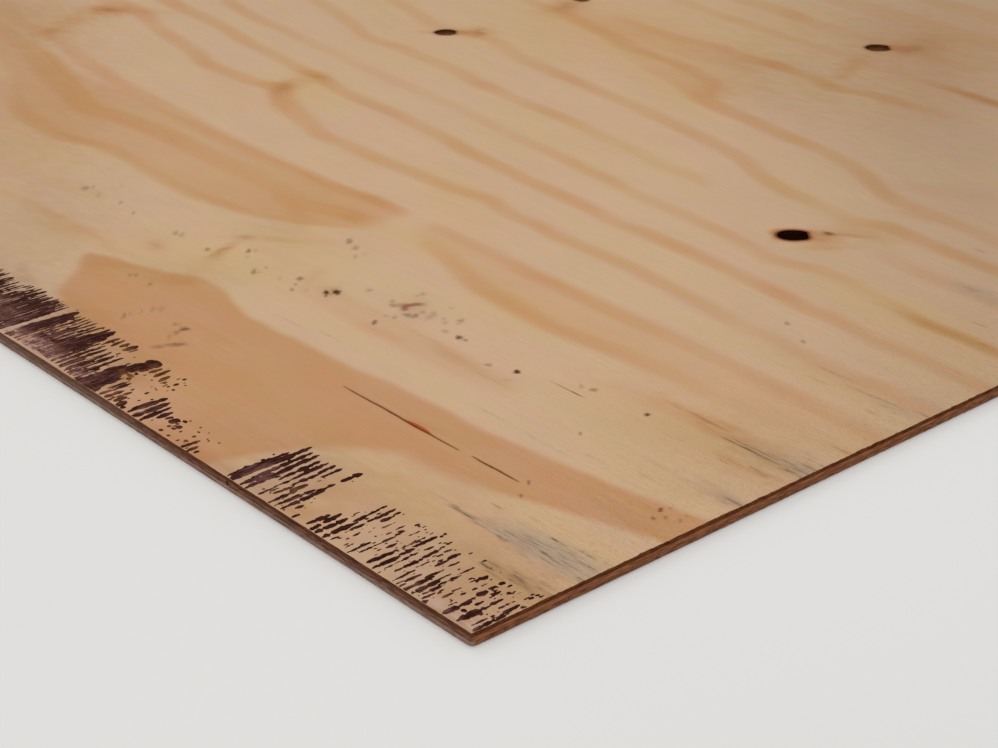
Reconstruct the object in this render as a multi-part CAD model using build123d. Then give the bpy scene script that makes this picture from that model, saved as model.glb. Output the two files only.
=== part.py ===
"""Pine plywood sheet: three veneers glued face to face, each with its grain across the next.

Frame: +X along the sheet's length and the grain of its face, +Y across the sheet, +Z up.
The origin is the middle of the underside. The near corner is the one at +X, -Y.
"""

import os
from collections import namedtuple

from build123d import *

# The sheet's trade size
sheet_length = 2440.0
sheet_width = 1220.0

# The three veneers, from the top down
face_thickness = 3.0
core_thickness = 3.0
back_thickness = 3.0

# Knotholes through the face veneer, where the loose half of a knot has dropped out.
# Places are measured from the near corner: from_end along the length, from_edge across it.
# turn is the direction from the hole to the half that stayed, in degrees from +X towards +Y.
# length is the hole's size that way and width its size square to it.
Knothole = namedtuple("Knothole", "from_end from_edge length width turn")
knotholes = (
    Knothole(from_end=259.0, from_edge=540.0, length=25.0, width=20.0, turn=49.0),
    Knothole(from_end=521.0, from_edge=950.0, length=24.0, width=19.0, turn=49.0),
    Knothole(from_end=829.0, from_edge=671.0, length=22.0, width=18.0, turn=49.0),
    Knothole(from_end=826.0, from_edge=849.0, length=18.0, width=15.0, turn=-75.0),
)
# The half that stayed begins at this share of the hole's half length
sound_half_starts = 0.72

# Drying splits in the face veneer. They run with the grain, one behind the other,
# each from the place near_end to far_end, both measured from the sheet's end.
Split = namedtuple("Split", "from_edge near_end far_end")
splits = (
    Split(from_edge=128.0, near_end=108.0, far_end=150.0),
    Split(from_edge=127.0, near_end=162.0, far_end=278.0),
)
split_width = 1.0
split_depth = 1.5

# The split in the core, open at the near long edge
core_split_from_end = 227.0
core_split_width = 2.5
core_split_depth = 30.0

# The knock on the near corner, which took its lower tip off
knock_run = 2.5


def near_corner():
    """The near corner's place in plan."""
    return sheet_length / 2, -sheet_width / 2


def sheet_thickness():
    """The height of the face above the underside."""
    return back_thickness + core_thickness + face_thickness


def veneer(bottom, thickness):
    """A full-size veneer with its underside at the height bottom."""
    middle = Pos(0, 0, bottom + thickness / 2)
    return middle * Box(sheet_length, sheet_width, thickness)


def knothole_cutter(hole, bottom, thickness):
    """An oval cutter with one flat side, where the sound half of the knot stays."""
    end, edge = near_corner()
    oval = Ellipse(hole.length / 2, hole.width / 2)
    flat_at = sound_half_starts * hole.length / 2
    sound_half = Pos(flat_at + hole.length / 2, 0) * Rectangle(hole.length, hole.width * 2)
    place = Pos(end - hole.from_end, edge + hole.from_edge, bottom) * Rot(0, 0, hole.turn)
    return extrude(place * (oval - sound_half), thickness)


def split_cutter(place):
    """A slender lens with its points along the grain, cut down into the face."""
    end, edge = near_corner()
    line = edge + place.from_edge
    tip = (end - place.near_end, line)
    tail = (end - place.far_end, line)
    middle = (tip[0] + tail[0]) / 2
    one_side = ThreePointArc(tip, (middle, line + split_width / 2), tail)
    other_side = ThreePointArc(tail, (middle, line - split_width / 2), tip)
    outline = make_face([one_side, other_side])
    return extrude(Pos(0, 0, sheet_thickness() - split_depth) * outline, split_depth)


def core_split_cutter(bottom, thickness):
    """A wedge that is open at the near long edge and closes inwards along the core's grain."""
    end, edge = near_corner()
    middle = end - core_split_from_end
    mouth_start = (middle - core_split_width / 2, edge)
    mouth_end = (middle + core_split_width / 2, edge)
    tip = (middle, edge + core_split_depth)
    outline = make_face(Polyline(mouth_start, mouth_end, tip, close=True))
    return extrude(Pos(0, 0, bottom) * outline, thickness)


def knocked(plies, top_of_knock):
    """The plies without the tip that lies outside a plane leaning over the near corner."""
    end, edge = near_corner()
    on_end = Vector(end, edge + knock_run, 0)
    on_edge = Vector(end - knock_run, edge, 0)
    on_corner = Vector(end, edge, top_of_knock)
    knock_plane = Plane(
        origin=on_end,
        x_dir=on_edge - on_end,
        z_dir=(on_corner - on_end).cross(on_edge - on_end),
    )
    return split(plies, bisect_by=knock_plane, keep=Keep.BOTTOM)


def back_veneer():
    back = veneer(0, back_thickness)
    return knocked(back, back_thickness + core_thickness)


def core_veneer():
    core = veneer(back_thickness, core_thickness)
    core -= core_split_cutter(back_thickness, core_thickness)
    return knocked(core, back_thickness + core_thickness)


def face_veneer():
    bottom = back_thickness + core_thickness
    face = veneer(bottom, face_thickness)
    for hole in knotholes:
        face -= knothole_cutter(hole, bottom, face_thickness)
    for place in splits:
        face -= split_cutter(place)
    return face


os.makedirs("parts", exist_ok=True)
export_step(face_veneer(), "parts/face_veneer.step")
export_step(core_veneer(), "parts/core_veneer.step")
export_step(back_veneer(), "parts/back_veneer.step")
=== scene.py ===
"""Looks of the pine plywood sheet: three veneers with worn edges, open knots and brushed edge paint.

Places on the sheet are given from its near corner in millimetres: along is the distance from the
near end, across the distance from the near long edge. The frame itself is in metres.
"""

import math
from collections import namedtuple
from functools import partial

import bpy
import numpy as np
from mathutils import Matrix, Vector
from mathutils.geometry import tessellate_polygon


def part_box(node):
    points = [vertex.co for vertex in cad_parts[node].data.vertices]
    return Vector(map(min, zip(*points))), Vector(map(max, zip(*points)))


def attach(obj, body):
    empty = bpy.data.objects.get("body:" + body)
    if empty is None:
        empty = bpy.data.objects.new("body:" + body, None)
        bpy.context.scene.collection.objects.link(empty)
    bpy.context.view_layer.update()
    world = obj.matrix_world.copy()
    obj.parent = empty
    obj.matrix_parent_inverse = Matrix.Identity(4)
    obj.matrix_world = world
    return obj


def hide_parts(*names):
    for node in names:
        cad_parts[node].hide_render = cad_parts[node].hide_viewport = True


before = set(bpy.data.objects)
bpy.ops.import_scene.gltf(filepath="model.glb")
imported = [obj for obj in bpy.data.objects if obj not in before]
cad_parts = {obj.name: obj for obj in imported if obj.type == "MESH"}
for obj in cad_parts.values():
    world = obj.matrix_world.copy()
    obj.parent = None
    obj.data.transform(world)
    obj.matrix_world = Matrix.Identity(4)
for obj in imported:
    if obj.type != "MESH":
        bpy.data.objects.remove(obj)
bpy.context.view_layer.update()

mm = 0.001

# The sheet's size and the heights of its glue lines, from the frame
sheet_low, sheet_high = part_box("back_veneer")[0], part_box("face_veneer")[1]
length = (sheet_high[0] - sheet_low[0]) / mm
width = (sheet_high[1] - sheet_low[1]) / mm
back_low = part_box("back_veneer")[0][2] / mm
core_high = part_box("core_veneer")[1][2] / mm
face_low, face_high = (corner[2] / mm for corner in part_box("face_veneer"))


# Tables, repeatable noise and soft shapes

def rows_of(kind, rows):
    """The rows of a table with their values named."""
    return tuple(kind(*row) for row in rows)


def lattice(column, row, seed):
    """A repeatable random number from 0 to 1 for each point of a lattice."""
    mixed = (column * 374761393 + row * 668265263 + seed * 974634777) & 0xFFFFFFFF
    mixed = ((mixed ^ (mixed >> 13)) * 1274126177) & 0xFFFFFFFF
    return ((mixed ^ (mixed >> 16)) & 0xFFFF) / 65535.0


def noise(x, y=0.0, seed=0):
    """Smooth noise from 0 to 1 with features one unit across."""
    x, y = np.broadcast_arrays(np.asarray(x, dtype=float), np.asarray(y, dtype=float))
    column, row = np.floor(x).astype(np.int64), np.floor(y).astype(np.int64)
    over, up = x - column, y - row
    over, up = over * over * (3 - 2 * over), up * up * (3 - 2 * up)
    low = lattice(column, row, seed) * (1 - over) + lattice(column + 1, row, seed) * over
    high = lattice(column, row + 1, seed) * (1 - over) + lattice(column + 1, row + 1, seed) * over
    return low * (1 - up) + high * up


def smooth(value, start, end):
    """0 before start, 1 after end and a smooth rise between them."""
    share = np.clip((value - start) / (end - start), 0, 1)
    return share * share * (3 - 2 * share)


def from_sides(along, across):
    """How far each place lies from the nearest side of the sheet."""
    return np.minimum(np.minimum(along, across), np.minimum(length - along, width - across))


def slanted(middle, turn, along, across):
    """How far each place lies from a middle in a slanted direction, and square to it.

    turn is in degrees from the direction towards the near end, turning towards the far edge.
    """
    right, up = middle.along - along, across - middle.across
    cosine, sine = math.cos(math.radians(turn)), math.sin(math.radians(turn))
    return right * cosine + up * sine, up * cosine - right * sine


def spotted(spots, along, across, starts, whole):
    """How strong the strongest of some soft ovals is at each place.

    A spot is along, across, long, wide and strong. starts and whole are the shares of its half
    size at which it starts to show and shows in full.
    """
    amount = np.zeros_like(along)
    for spot_along, spot_across, long, wide, strong in spots:
        reach = np.hypot((along - spot_along) / long * 2, (across - spot_across) / wide * 2)
        amount = np.maximum(amount, strong * smooth(-reach, -starts, -whole))
    return amount


# The figure of the face: the bands of late wood

# A band's stations are along, low, high and tone: its two sides there, measured across the sheet,
# and how tan it is, 1 for an ordinary band. soft is how far each side fades, low side first.
Band = namedtuple("Band", "soft stations")

bands = (
    Band((6, 9), (
        (-20, 326, 334, 0.5), (40, 330, 337, 0.55), (80, 333, 340, 0.7), (130, 335, 342, 0.55),
        (190, 337, 343, 0.5), (240, 335, 342, 0.75), (290, 336, 343, 0.75), (310, 338, 344, 0.95),
        (335, 336, 343, 0.9), (370, 339, 346, 0.5), (400, 339, 346, 0.5), (440, 342, 348, 0.55),
        (470, 343, 349, 0.5),
    )),
    Band((10, 9), (
        (-20, 300, 342, 0.3), (150, 298, 344, 0.35), (200, 292, 346, 0.5), (300, 292, 346, 0.5),
        (360, 300, 346, 0.45), (400, 312, 346, 0.35), (440, 325, 346, 0.3), (470, 335, 347, 0.2),
    )),
    Band((9, 10), (
        (100, 294, 300, 0.2), (150, 296, 304, 0.45), (200, 294, 302, 0.7), (240, 288, 296, 0.8),
        (260, 286, 294, 0.9), (300, 289, 299, 0.95), (340, 291, 301, 0.85), (370, 300, 310, 0.65),
        (400, 310, 320, 0.6), (430, 316, 325, 0.45), (450, 320, 330, 0.2),
    )),
    Band((9, 8), (
        (470, 308, 340, 0.3), (490, 300, 342, 0.7), (520, 276, 343, 0.95), (560, 256, 343, 0.95),
        (600, 250, 340, 0.9), (650, 248, 338, 0.8), (700, 250, 338, 0.7), (760, 252, 338, 0.65),
        (800, 240, 336, 0.65), (850, 238, 334, 0.72), (900, 248, 333, 0.75), (950, 268, 330, 0.65),
        (1000, 292, 338, 0.55), (1100, 325, 350, 0.5), (1200, 350, 362, 0.4),
    )),
    Band((9, 9), (
        (484, 312, 320, 0.8), (497, 308, 320, 1.2), (515, 306, 316, 1.15), (530, 302, 314, 0.8),
        (545, 288, 306, 0.85), (560, 286, 304, 0.8), (600, 298, 310, 0.5), (650, 298, 310, 0.6),
        (700, 297, 310, 0.7), (740, 298, 312, 0.9), (790, 295, 311, 1.0), (830, 290, 306, 1.0),
        (860, 282, 299, 1.15), (880, 284, 302, 1.15), (900, 290, 309, 1.05), (930, 297, 318, 1.0),
        (970, 306, 328, 1.05), (1000, 315, 338, 0.9), (1020, 320, 344, 0.7), (1060, 334, 350, 0.4),
        (1200, 350, 364, 0.3),
    )),
    Band((8, 8), (
        (476, 344, 348, 0.6), (500, 342, 348, 0.9), (520, 342, 349, 1.2), (535, 341, 349, 1.2),
        (550, 337, 344, 0.9), (580, 332, 340, 0.8), (600, 335, 342, 1.0), (620, 335, 341, 0.7),
        (700, 333, 341, 0.6), (750, 333, 343, 0.65), (800, 336, 347, 0.7), (850, 339, 350, 0.75),
        (900, 342, 352, 0.8), (950, 349, 360, 0.7), (980, 352, 363, 0.6), (1000, 357, 367, 0.6),
        (1050, 368, 376, 0.5), (1080, 370, 380, 0.7), (1120, 368, 378, 0.6), (1200, 385, 400, 0.4),
    )),
    Band((8, 8), (
        (555, 250, 255, 0.3), (576, 250, 256, 0.6), (598, 247, 254, 0.9), (627, 240, 247, 0.9),
        (650, 240, 247, 0.8), (673, 241, 248, 0.75), (700, 243, 250, 0.65), (715, 245, 252, 0.65),
        (751, 246, 254, 0.75), (777, 245, 254, 0.8), (790, 238, 249, 0.85), (805, 231, 241, 0.95),
        (825, 230, 240, 0.85), (845, 230, 240, 0.8), (865, 231, 241, 0.95), (888, 234, 243, 0.85),
        (905, 239, 249, 0.7), (930, 248, 257, 0.5), (960, 258, 267, 0.3), (1200, 290, 315, 0.3),
    )),
    Band((9, 10), (
        (-20, 382, 388, 0.4), (30, 384, 391, 0.45), (50, 386, 393, 0.7), (75, 382, 388, 0.5),
        (100, 384, 390, 0.5), (150, 389, 396, 0.55), (170, 387, 393, 0.4), (190, 388, 396, 0.6),
        (240, 395, 402, 0.75), (260, 397, 404, 0.8), (300, 401, 408, 0.9), (350, 400, 407, 0.75),
        (380, 399, 406, 0.8), (400, 404, 411, 0.9), (430, 402, 409, 0.6), (450, 406, 414, 0.8),
        (465, 410, 419, 0.9), (500, 404, 412, 0.85), (540, 403, 411, 0.8), (580, 400, 408, 0.8),
        (600, 399, 408, 1.0), (640, 401, 409, 0.65), (665, 398, 407, 0.9), (680, 400, 410, 0.9),
        (700, 406, 418, 0.75), (740, 414, 430, 0.7), (770, 424, 440, 0.85), (790, 438, 458, 1.2),
        (805, 445, 462, 1.2), (820, 438, 448, 0.85), (850, 436, 446, 0.65), (880, 434, 443, 0.8),
        (905, 435, 445, 0.95), (930, 445, 455, 0.8), (960, 452, 460, 0.7), (1000, 458, 467, 0.8),
        (1030, 464, 472, 0.6), (1050, 470, 480, 0.8), (1080, 480, 490, 1.0), (1110, 470, 490, 0.9),
        (1140, 475, 490, 0.5), (1200, 500, 520, 0.4),
    )),
    Band((8, 9), (
        (-20, 434, 441, 0.5), (10, 435, 442, 0.7), (60, 439, 445, 0.6), (100, 438, 444, 0.6),
        (145, 444, 452, 0.85), (160, 440, 448, 0.7), (190, 446, 455, 1.1), (230, 449, 456, 0.65),
        (280, 453, 461, 0.9), (300, 453, 462, 1.0), (340, 454, 462, 0.9), (370, 452, 459, 0.6),
        (400, 457, 465, 0.85), (440, 459, 467, 0.9), (480, 461, 468, 0.8), (520, 465, 473, 0.85),
        (560, 467, 476, 0.95), (580, 470, 480, 0.9), (610, 476, 484, 0.7), (640, 477, 485, 0.6),
        (670, 481, 489, 0.85), (700, 480, 489, 0.85), (730, 481, 489, 0.8), (760, 484, 491, 0.75),
        (780, 487, 496, 1.0), (800, 491, 501, 1.4), (815, 490, 500, 1.2), (835, 493, 500, 0.75),
        (870, 498, 505, 0.6), (900, 501, 508, 0.6), (925, 502, 510, 0.8), (950, 506, 515, 0.9),
        (980, 512, 520, 0.8), (1010, 516, 525, 0.7), (1050, 517, 527, 0.7), (1080, 518, 530, 1.05),
        (1100, 520, 535, 0.8), (1200, 535, 550, 0.5),
    )),
    Band((8, 8), (
        (-20, 484, 490, 0.9), (40, 485, 491, 1.1), (60, 487, 493, 1.2), (80, 486, 492, 1.3),
        (100, 487, 493, 1.2), (120, 492, 498, 0.5), (150, 495, 500, 0.3), (170, 501, 508, 0.45),
        (205, 500, 508, 0.6), (215, 496, 504, 0.75), (240, 488, 497, 0.6), (260, 496, 503, 0.5),
        (300, 501, 508, 0.75), (350, 504, 511, 0.55), (400, 506, 512, 0.45), (420, 509, 516, 0.6),
        (440, 513, 521, 0.8), (460, 512, 519, 0.65), (480, 516, 524, 0.75), (530, 520, 527, 0.5),
        (570, 522, 529, 0.35), (600, 526, 534, 0.5), (650, 532, 540, 0.35), (720, 536, 545, 0.45),
        (800, 541, 550, 0.4), (850, 546, 554, 0.35), (900, 549, 557, 0.4), (940, 554, 561, 0.6),
        (980, 554, 562, 0.7), (1010, 558, 566, 0.75), (1030, 561, 570, 0.9), (1050, 566, 575, 0.8),
        (1080, 575, 585, 0.5), (1200, 590, 602, 0.4),
    )),
    Band((9, 9), (
        (-20, 545, 553, 0.4), (70, 548, 556, 0.5), (100, 551, 560, 0.55), (150, 551, 560, 0.55),
        (185, 557, 565, 0.3), (215, 560, 566, 0.1),
    )),
    Band((9, 8), (
        (360, 562, 570, 0.2), (400, 568, 578, 0.5), (430, 566, 575, 0.45), (475, 575, 583, 0.4),
        (520, 578, 586, 0.5), (550, 583, 591, 0.65), (575, 584, 592, 0.9), (605, 586, 594, 0.85),
        (635, 586, 594, 0.5), (655, 588, 596, 0.6), (680, 589, 600, 0.95), (700, 591, 600, 0.8),
        (720, 597, 606, 0.6), (760, 600, 608, 0.6), (800, 601, 609, 0.55), (822, 604, 613, 0.8),
        (850, 599, 607, 0.6), (870, 600, 608, 0.7), (900, 612, 620, 0.7), (940, 624, 632, 0.7),
        (970, 631, 640, 0.6), (1000, 636, 645, 0.6), (1200, 676, 690, 0.5),
    )),
    Band((9, 10), (
        (-20, 594, 600, 0.4), (80, 596, 602, 0.6), (120, 597, 604, 0.9), (160, 598, 606, 1.0),
        (190, 601, 609, 0.7), (210, 602, 611, 0.95), (230, 602, 612, 0.95), (243, 590, 602, 0.55),
        (260, 592, 600, 0.35), (285, 596, 603, 0.4), (305, 599, 607, 0.65), (325, 598, 608, 0.8),
        (350, 606, 615, 0.85), (370, 612, 621, 0.75), (400, 628, 636, 0.75), (430, 635, 643, 0.65),
        (450, 638, 646, 0.8), (490, 644, 652, 0.8), (530, 649, 657, 0.65), (560, 654, 661, 0.5),
        (600, 657, 664, 0.65), (630, 660, 668, 0.85), (660, 662, 671, 0.8), (690, 664, 672, 0.55),
        (720, 668, 676, 0.45), (750, 678, 686, 0.45), (775, 684, 692, 0.6), (800, 686, 694, 0.6),
        (850, 671, 680, 0.6), (880, 681, 689, 0.55), (920, 691, 699, 0.65), (960, 700, 708, 0.5),
        (1200, 735, 748, 0.5),
    )),
    Band((9, 11), (
        (-20, 634, 640, 0.4), (140, 640, 648, 0.5), (180, 646, 653, 0.55), (250, 648, 656, 0.7),
        (265, 651, 660, 0.9), (280, 658, 667, 0.85), (295, 666, 676, 0.8), (310, 675, 685, 0.75),
        (340, 686, 694, 0.65), (370, 693, 701, 0.7), (400, 694, 703, 1.0), (430, 697, 706, 0.85),
        (460, 702, 711, 0.9), (490, 704, 713, 0.8), (505, 705, 716, 1.0), (520, 709, 721, 1.0),
        (535, 714, 734, 0.85), (560, 724, 750, 0.65), (600, 734, 765, 0.5), (640, 748, 770, 0.4),
        (680, 762, 778, 0.35), (720, 778, 790, 0.3), (760, 788, 796, 0.3),
    )),
    Band((8, 8), (
        (515, 716, 726, 0.4), (530, 732, 742, 0.7), (540, 741, 752, 1.05), (552, 752, 762, 0.85),
        (575, 759, 768, 0.65), (600, 765, 775, 0.85), (630, 768, 778, 0.9), (655, 766, 776, 0.85),
        (680, 768, 778, 0.65), (700, 774, 784, 0.8), (720, 780, 790, 0.75), (750, 786, 795, 0.65),
        (780, 792, 802, 0.75), (800, 796, 806, 0.8), (830, 798, 806, 0.5), (1200, 835, 850, 0.4),
    )),
    Band((18, 14), (
        (540, 815, 838, 0.3), (600, 800, 835, 0.45), (650, 795, 835, 0.45), (700, 790, 830, 0.5),
        (740, 792, 826, 0.4), (780, 798, 815, 0.3), (820, 802, 812, 0.2),
    )),
    Band((9, 8), (
        (330, 840, 846, 0.3), (370, 840, 848, 0.45), (400, 836, 845, 0.75), (425, 835, 845, 0.9),
        (445, 832, 842, 0.7), (462, 824, 834, 0.8), (475, 820, 832, 1.1), (490, 826, 838, 0.8),
        (510, 832, 842, 0.5), (530, 830, 841, 0.8), (546, 831, 844, 1.3), (560, 829, 842, 0.95),
        (590, 826, 836, 0.45), (620, 834, 844, 0.6), (650, 826, 836, 0.5), (700, 821, 831, 0.5),
        (740, 826, 836, 0.4), (780, 830, 838, 0.2),
    )),
    Band((7, 7), (
        (-20, 892, 900, 0.5), (200, 893, 901, 0.5), (330, 897, 906, 1.2), (350, 898, 907, 1.4),
        (375, 899, 908, 1.4), (395, 901, 909, 1.2), (410, 900, 908, 0.7), (430, 901, 909, 0.35),
        (500, 901, 909, 0.35), (560, 904, 912, 0.35), (640, 907, 917, 0.5), (680, 908, 918, 0.6),
        (710, 910, 920, 0.4), (800, 920, 932, 0.3), (1200, 950, 962, 0.4),
    )),
    Band((12, 11), (
        (400, 958, 970, 0.2), (560, 958, 968, 0.3), (620, 960, 970, 0.5), (645, 963, 976, 0.9),
        (665, 966, 978, 0.6), (700, 964, 976, 0.5), (800, 968, 980, 0.4), (1200, 985, 1000, 0.4),
    )),
    Band((14, 12), (
        (-20, 1022, 1040, 0.4), (500, 1030, 1052, 0.35), (900, 1045, 1070, 0.4), (1300, 1060, 1078, 0.5),
    )),
    Band((13, 12), (
        (-20, 1096, 1108, 0.5), (500, 1104, 1122, 0.4), (900, 1118, 1130, 0.5), (1300, 1120, 1140, 0.5),
    )),
    Band((12, 14), ((-20, 1160, 1180, 0.5), (600, 1172, 1186, 0.5), (1300, 1180, 1196, 0.5))),
    Band((6, 6), (
        (180, 203, 208, 0.2), (230, 205, 210, 0.35), (250, 206, 211, 0.5), (268, 207, 212, 0.65),
        (285, 209, 213, 0.4), (310, 210, 214, 0.2),
    )),
    Band((6, 6), (
        (290, 198, 202, 0.2), (315, 196, 200, 0.45), (345, 192, 196, 0.45), (365, 190, 194, 0.15),
    )),
    Band((10, 10), (
        (190, 198, 212, 0.1), (230, 196, 214, 0.3), (330, 194, 214, 0.35), (440, 196, 212, 0.2),
    )),
    Band((13, 13), ((640, 60, 72, 0.5), (900, 64, 82, 0.6), (1300, 70, 90, 0.5))),
    Band((13, 13), ((880, 152, 166, 0.5), (1100, 158, 178, 0.6), (1300, 168, 190, 0.5))),
)
# The tone at which the late wood's own colour shows
full_tone = 1.5

# Past this distance from the near end, which is as far as the bands were followed, they wander on
# in waves of these sizes, reaches and starts, with a station at each step up to the last one
followed_to = 1200.0
wander = ((24.0, 410.0, 0.0), (9.0, 143.0, 1.3))
end_station = 2520.0
station_step = 40
# How long the fading tip of a band is
band_tip = 24.0
# A band's corners are rounded off over this many steps of this length
corner_steps = 9
corner_step = 4

# The tan patch of late wood by the near long edge: along and its lower and upper side.
# Its upper side is sharper than the bands' sides.
patch_stations = (
    (-20, 148, 184), (0, 143, 180), (50, 129, 172), (85, 118, 165), (110, 108, 162), (150, 99, 157),
    (185, 97, 155), (215, 72, 155), (240, 30, 155), (262, -40, 154), (300, -40, 148), (319, -40, 147),
    (352, -40, 146), (379, -40, 145), (393, -40, 144), (410, -40, 144), (425, -40, 146), (440, -40, 149),
    (452, -40, 156), (465, -40, 158), (476, -40, 157), (489, -20, 155), (497, 20, 151), (503, 50, 146),
    (513, 55, 142), (522, 60, 138), (531, 64, 135), (542, 72, 132), (552, 90, 130), (562, 99, 128),
    (572, 108, 124), (580, 116, 119),
)
patch_soft = 4.5
# How uneven its upper side is, and how far from it the distance is kept
patch_ragged = 3.0
patch_kept = 20
# How far its lower side fades at each distance from the near end
patch_fade = ((0, 3), (85, 4), (120, 7), (190, 11), (262, 14), (480, 14), (510, 6), (560, 5))


def lines_of(stations):
    """Places along the sheet with a band's two sides and its tone, its corners rounded off."""
    places, low, high, tone = np.array([(*station, 1.0)[:4] for station in stations]).T
    if places[0] < 0:
        places = np.append(places[0] - band_tip, places)
        low, high, tone = (np.append(row[0], row) for row in (low, high, tone))
    if places[-1] >= followed_to:
        past = np.arange(followed_to + station_step, end_station, station_step)
        turn = past - followed_to
        drift = sum(size * np.sin(turn / reach + start) - size * math.sin(start)
                    for size, reach, start in wander)
        half = (high[-1] - low[-1]) / 2
        swell = half * (noise(past / 190, low[-1], seed=5) - 0.5)
        places = np.append(places, past)
        low, high = np.append(low, low[-1] + drift - swell), np.append(high, high[-1] + drift + swell)
        tone = np.append(tone, 0.3 + 0.8 * noise(past / 160, high[-1], seed=6))
    fine = np.arange(places[0], places[-1] + 1, corner_step)
    window = np.hanning(corner_steps)
    window /= window.sum()
    rounded = []
    for row in (low, high, tone):
        padded = np.pad(np.interp(fine, places, row), corner_steps // 2, mode="edge")
        rounded.append(np.convolve(padded, window, "valid"))
    return fine, *rounded


def inside(stations, along, across):
    """How far inside a band's two sides and its nearer tip each place lies, and its tone."""
    places, low, high, tone = lines_of(stations)
    from_low = across - np.interp(along, places, low)
    from_high = np.interp(along, places, high) - across
    from_tip = np.minimum(along - places[0], places[-1] - along)
    return from_low, from_high, from_tip, np.interp(along, places, tone)


def late_wood(along, across):
    """How much of the bands' tan shows at each place, from 0 to 1."""
    left = np.ones_like(along)
    for band in bands:
        from_low, from_high, from_tip, tone = inside(band.stations, along, across)
        soft_low, soft_high = band.soft
        shade = smooth(from_low, -soft_low, 0) * smooth(from_high, -soft_high, 0)
        left *= 1 - tone / full_tone * shade * smooth(from_tip, 0, band_tip)
    return 1 - left


def patch_depth(along, across):
    """How far inside the upper side of the tan patch each place lies, and how much of it shows."""
    from_low, from_high, from_tip, _ = inside(patch_stations, along, across)
    fade = np.interp(along, *np.array(patch_fade, dtype=float).T)
    from_high = from_high + patch_ragged * (noise(along / 17, across / 30, seed=14) - 0.5)
    depth = np.clip(np.minimum(from_high, from_tip), -patch_kept, patch_kept)
    return depth, smooth(from_low / fade, -1, 1)


# Soft marks that lie at a slant to the grain. turn is the direction of a mark's length, in degrees
# from the direction towards the near end, turning towards the far edge. At half its length or
# width a mark has faded to a third.
Smudge = namedtuple("Smudge", "along across long wide turn tone")

tan_smudges = rows_of(Smudge, (
    (797, 470, 60, 22, 110, 0.45), (765, 430, 70, 26, 150, 0.35), (1096, 412, 130, 32, 115, 0.6),
    (1108, 464, 44, 34, 20, 0.7), (1083, 384, 40, 30, 0, 0.45), (518, 197, 44, 9, 110, 0.45),
    (540, 283, 60, 16, 150, 0.35), (506, 242, 84, 10, 39, 0.4), (560, 165, 40, 18, 160, 0.35),
    (435, 220, 40, 12, 120, 0.3), (225, 585, 34, 60, 90, 0.45), (222, 640, 14, 50, 100, 0.3),
    (236, 545, 34, 40, 100, 0.4), (499, 888, 96, 22, 112, 0.6), (500, 985, 80, 60, 100, 0.6),
    (808, 696, 40, 26, 131, 0.5), (815, 812, 60, 44, 120, 0.6), (480, 1010, 300, 260, 90, 0.35),
    (420, 880, 260, 120, 120, 0.25), (490, 140, 60, 20, 115, 0.35), (110, 50, 330, 110, 0, 0.34),
    (66, 266, 120, 16, 0, 0.25), (900, 240, 400, 170, 150, 0.34), (1150, 385, 190, 120, 150, 0.42),
    (30, 40, 150, 80, 0, 0.36), (95, 245, 170, 110, 0, 0.16), (740, 800, 260, 200, 131, 0.16),
    (158, 40, 110, 60, 0, 0.22), (92, 270, 100, 14, 0, 0.24), (40, 242, 80, 12, 0, 0.2),
    (20, 238, 90, 22, 0, 0.2), (50, 378, 190, 34, 0, 0.3), (235, 700, 30, 130, 110, 0.2),
    (690, 185, 60, 20, 10, 0.2), (1096, 472, 90, 28, 42, 0.55), (590, 785, 260, 110, 160, 0.3),
    (536, 742, 60, 40, 120, 0.3), (752, 792, 90, 26, 170, 0.3), (668, 138, 170, 11, 2, 0.42),
    (640, 130, 90, 22, 2, 0.25),
))
yellow_smudges = rows_of(Smudge, (
    (505, 236, 170, 110, 30, 0.5), (580, 148, 230, 30, 22, 0.52), (505, 172, 120, 60, 20, 0.8),
    (510, 272, 140, 60, 150, 0.35), (375, 188, 130, 36, 0, 0.3), (280, 208, 110, 26, 0, 0.15),
    (80, 250, 160, 90, 0, 0.4), (160, 265, 130, 60, 0, 0.08), (110, 495, 170, 60, 0, 0.5),
    (300, 288, 100, 44, 0, 0.5), (440, 318, 80, 40, 0, 0.6), (760, 800, 300, 260, 131, 0.6),
    (50, 185, 100, 50, 0, 0.45), (140, 85, 130, 50, 0, 0.22), (170, 42, 120, 50, 0, 0.35),
    (830, 240, 170, 60, 150, 0.35), (530, 560, 240, 160, 49, 0.3), (60, 350, 160, 60, 0, 0.18),
    (584, 848, 160, 110, 160, 0.55), (556, 718, 140, 90, 150, 0.55), (777, 464, 130, 60, 150, 0.6),
    (480, 390, 160, 60, 150, 0.6), (650, 950, 200, 110, 160, 0.5), (864, 642, 260, 110, 150, 0.35),
    (474, 813, 120, 70, 160, 0.35), (818, 413, 110, 70, 150, 0.5), (511, 256, 90, 50, 150, 0.35),
    (614, 379, 90, 60, 150, 0.35), (75, 292, 90, 40, 0, 0.45), (268, 40, 90, 44, 0, 0.3),
    (629, 118, 110, 70, 150, 0.3), (76, 462, 160, 60, 0, 0.6), (500, 96, 120, 60, 120, 0.7),
    (545, 118, 60, 40, 120, 0.6), (30, 112, 70, 24, 0, 0.25), (350, 95, 220, 80, 0, 0.25),
    (84, 272, 130, 56, 0, 0.6),
))
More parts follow.
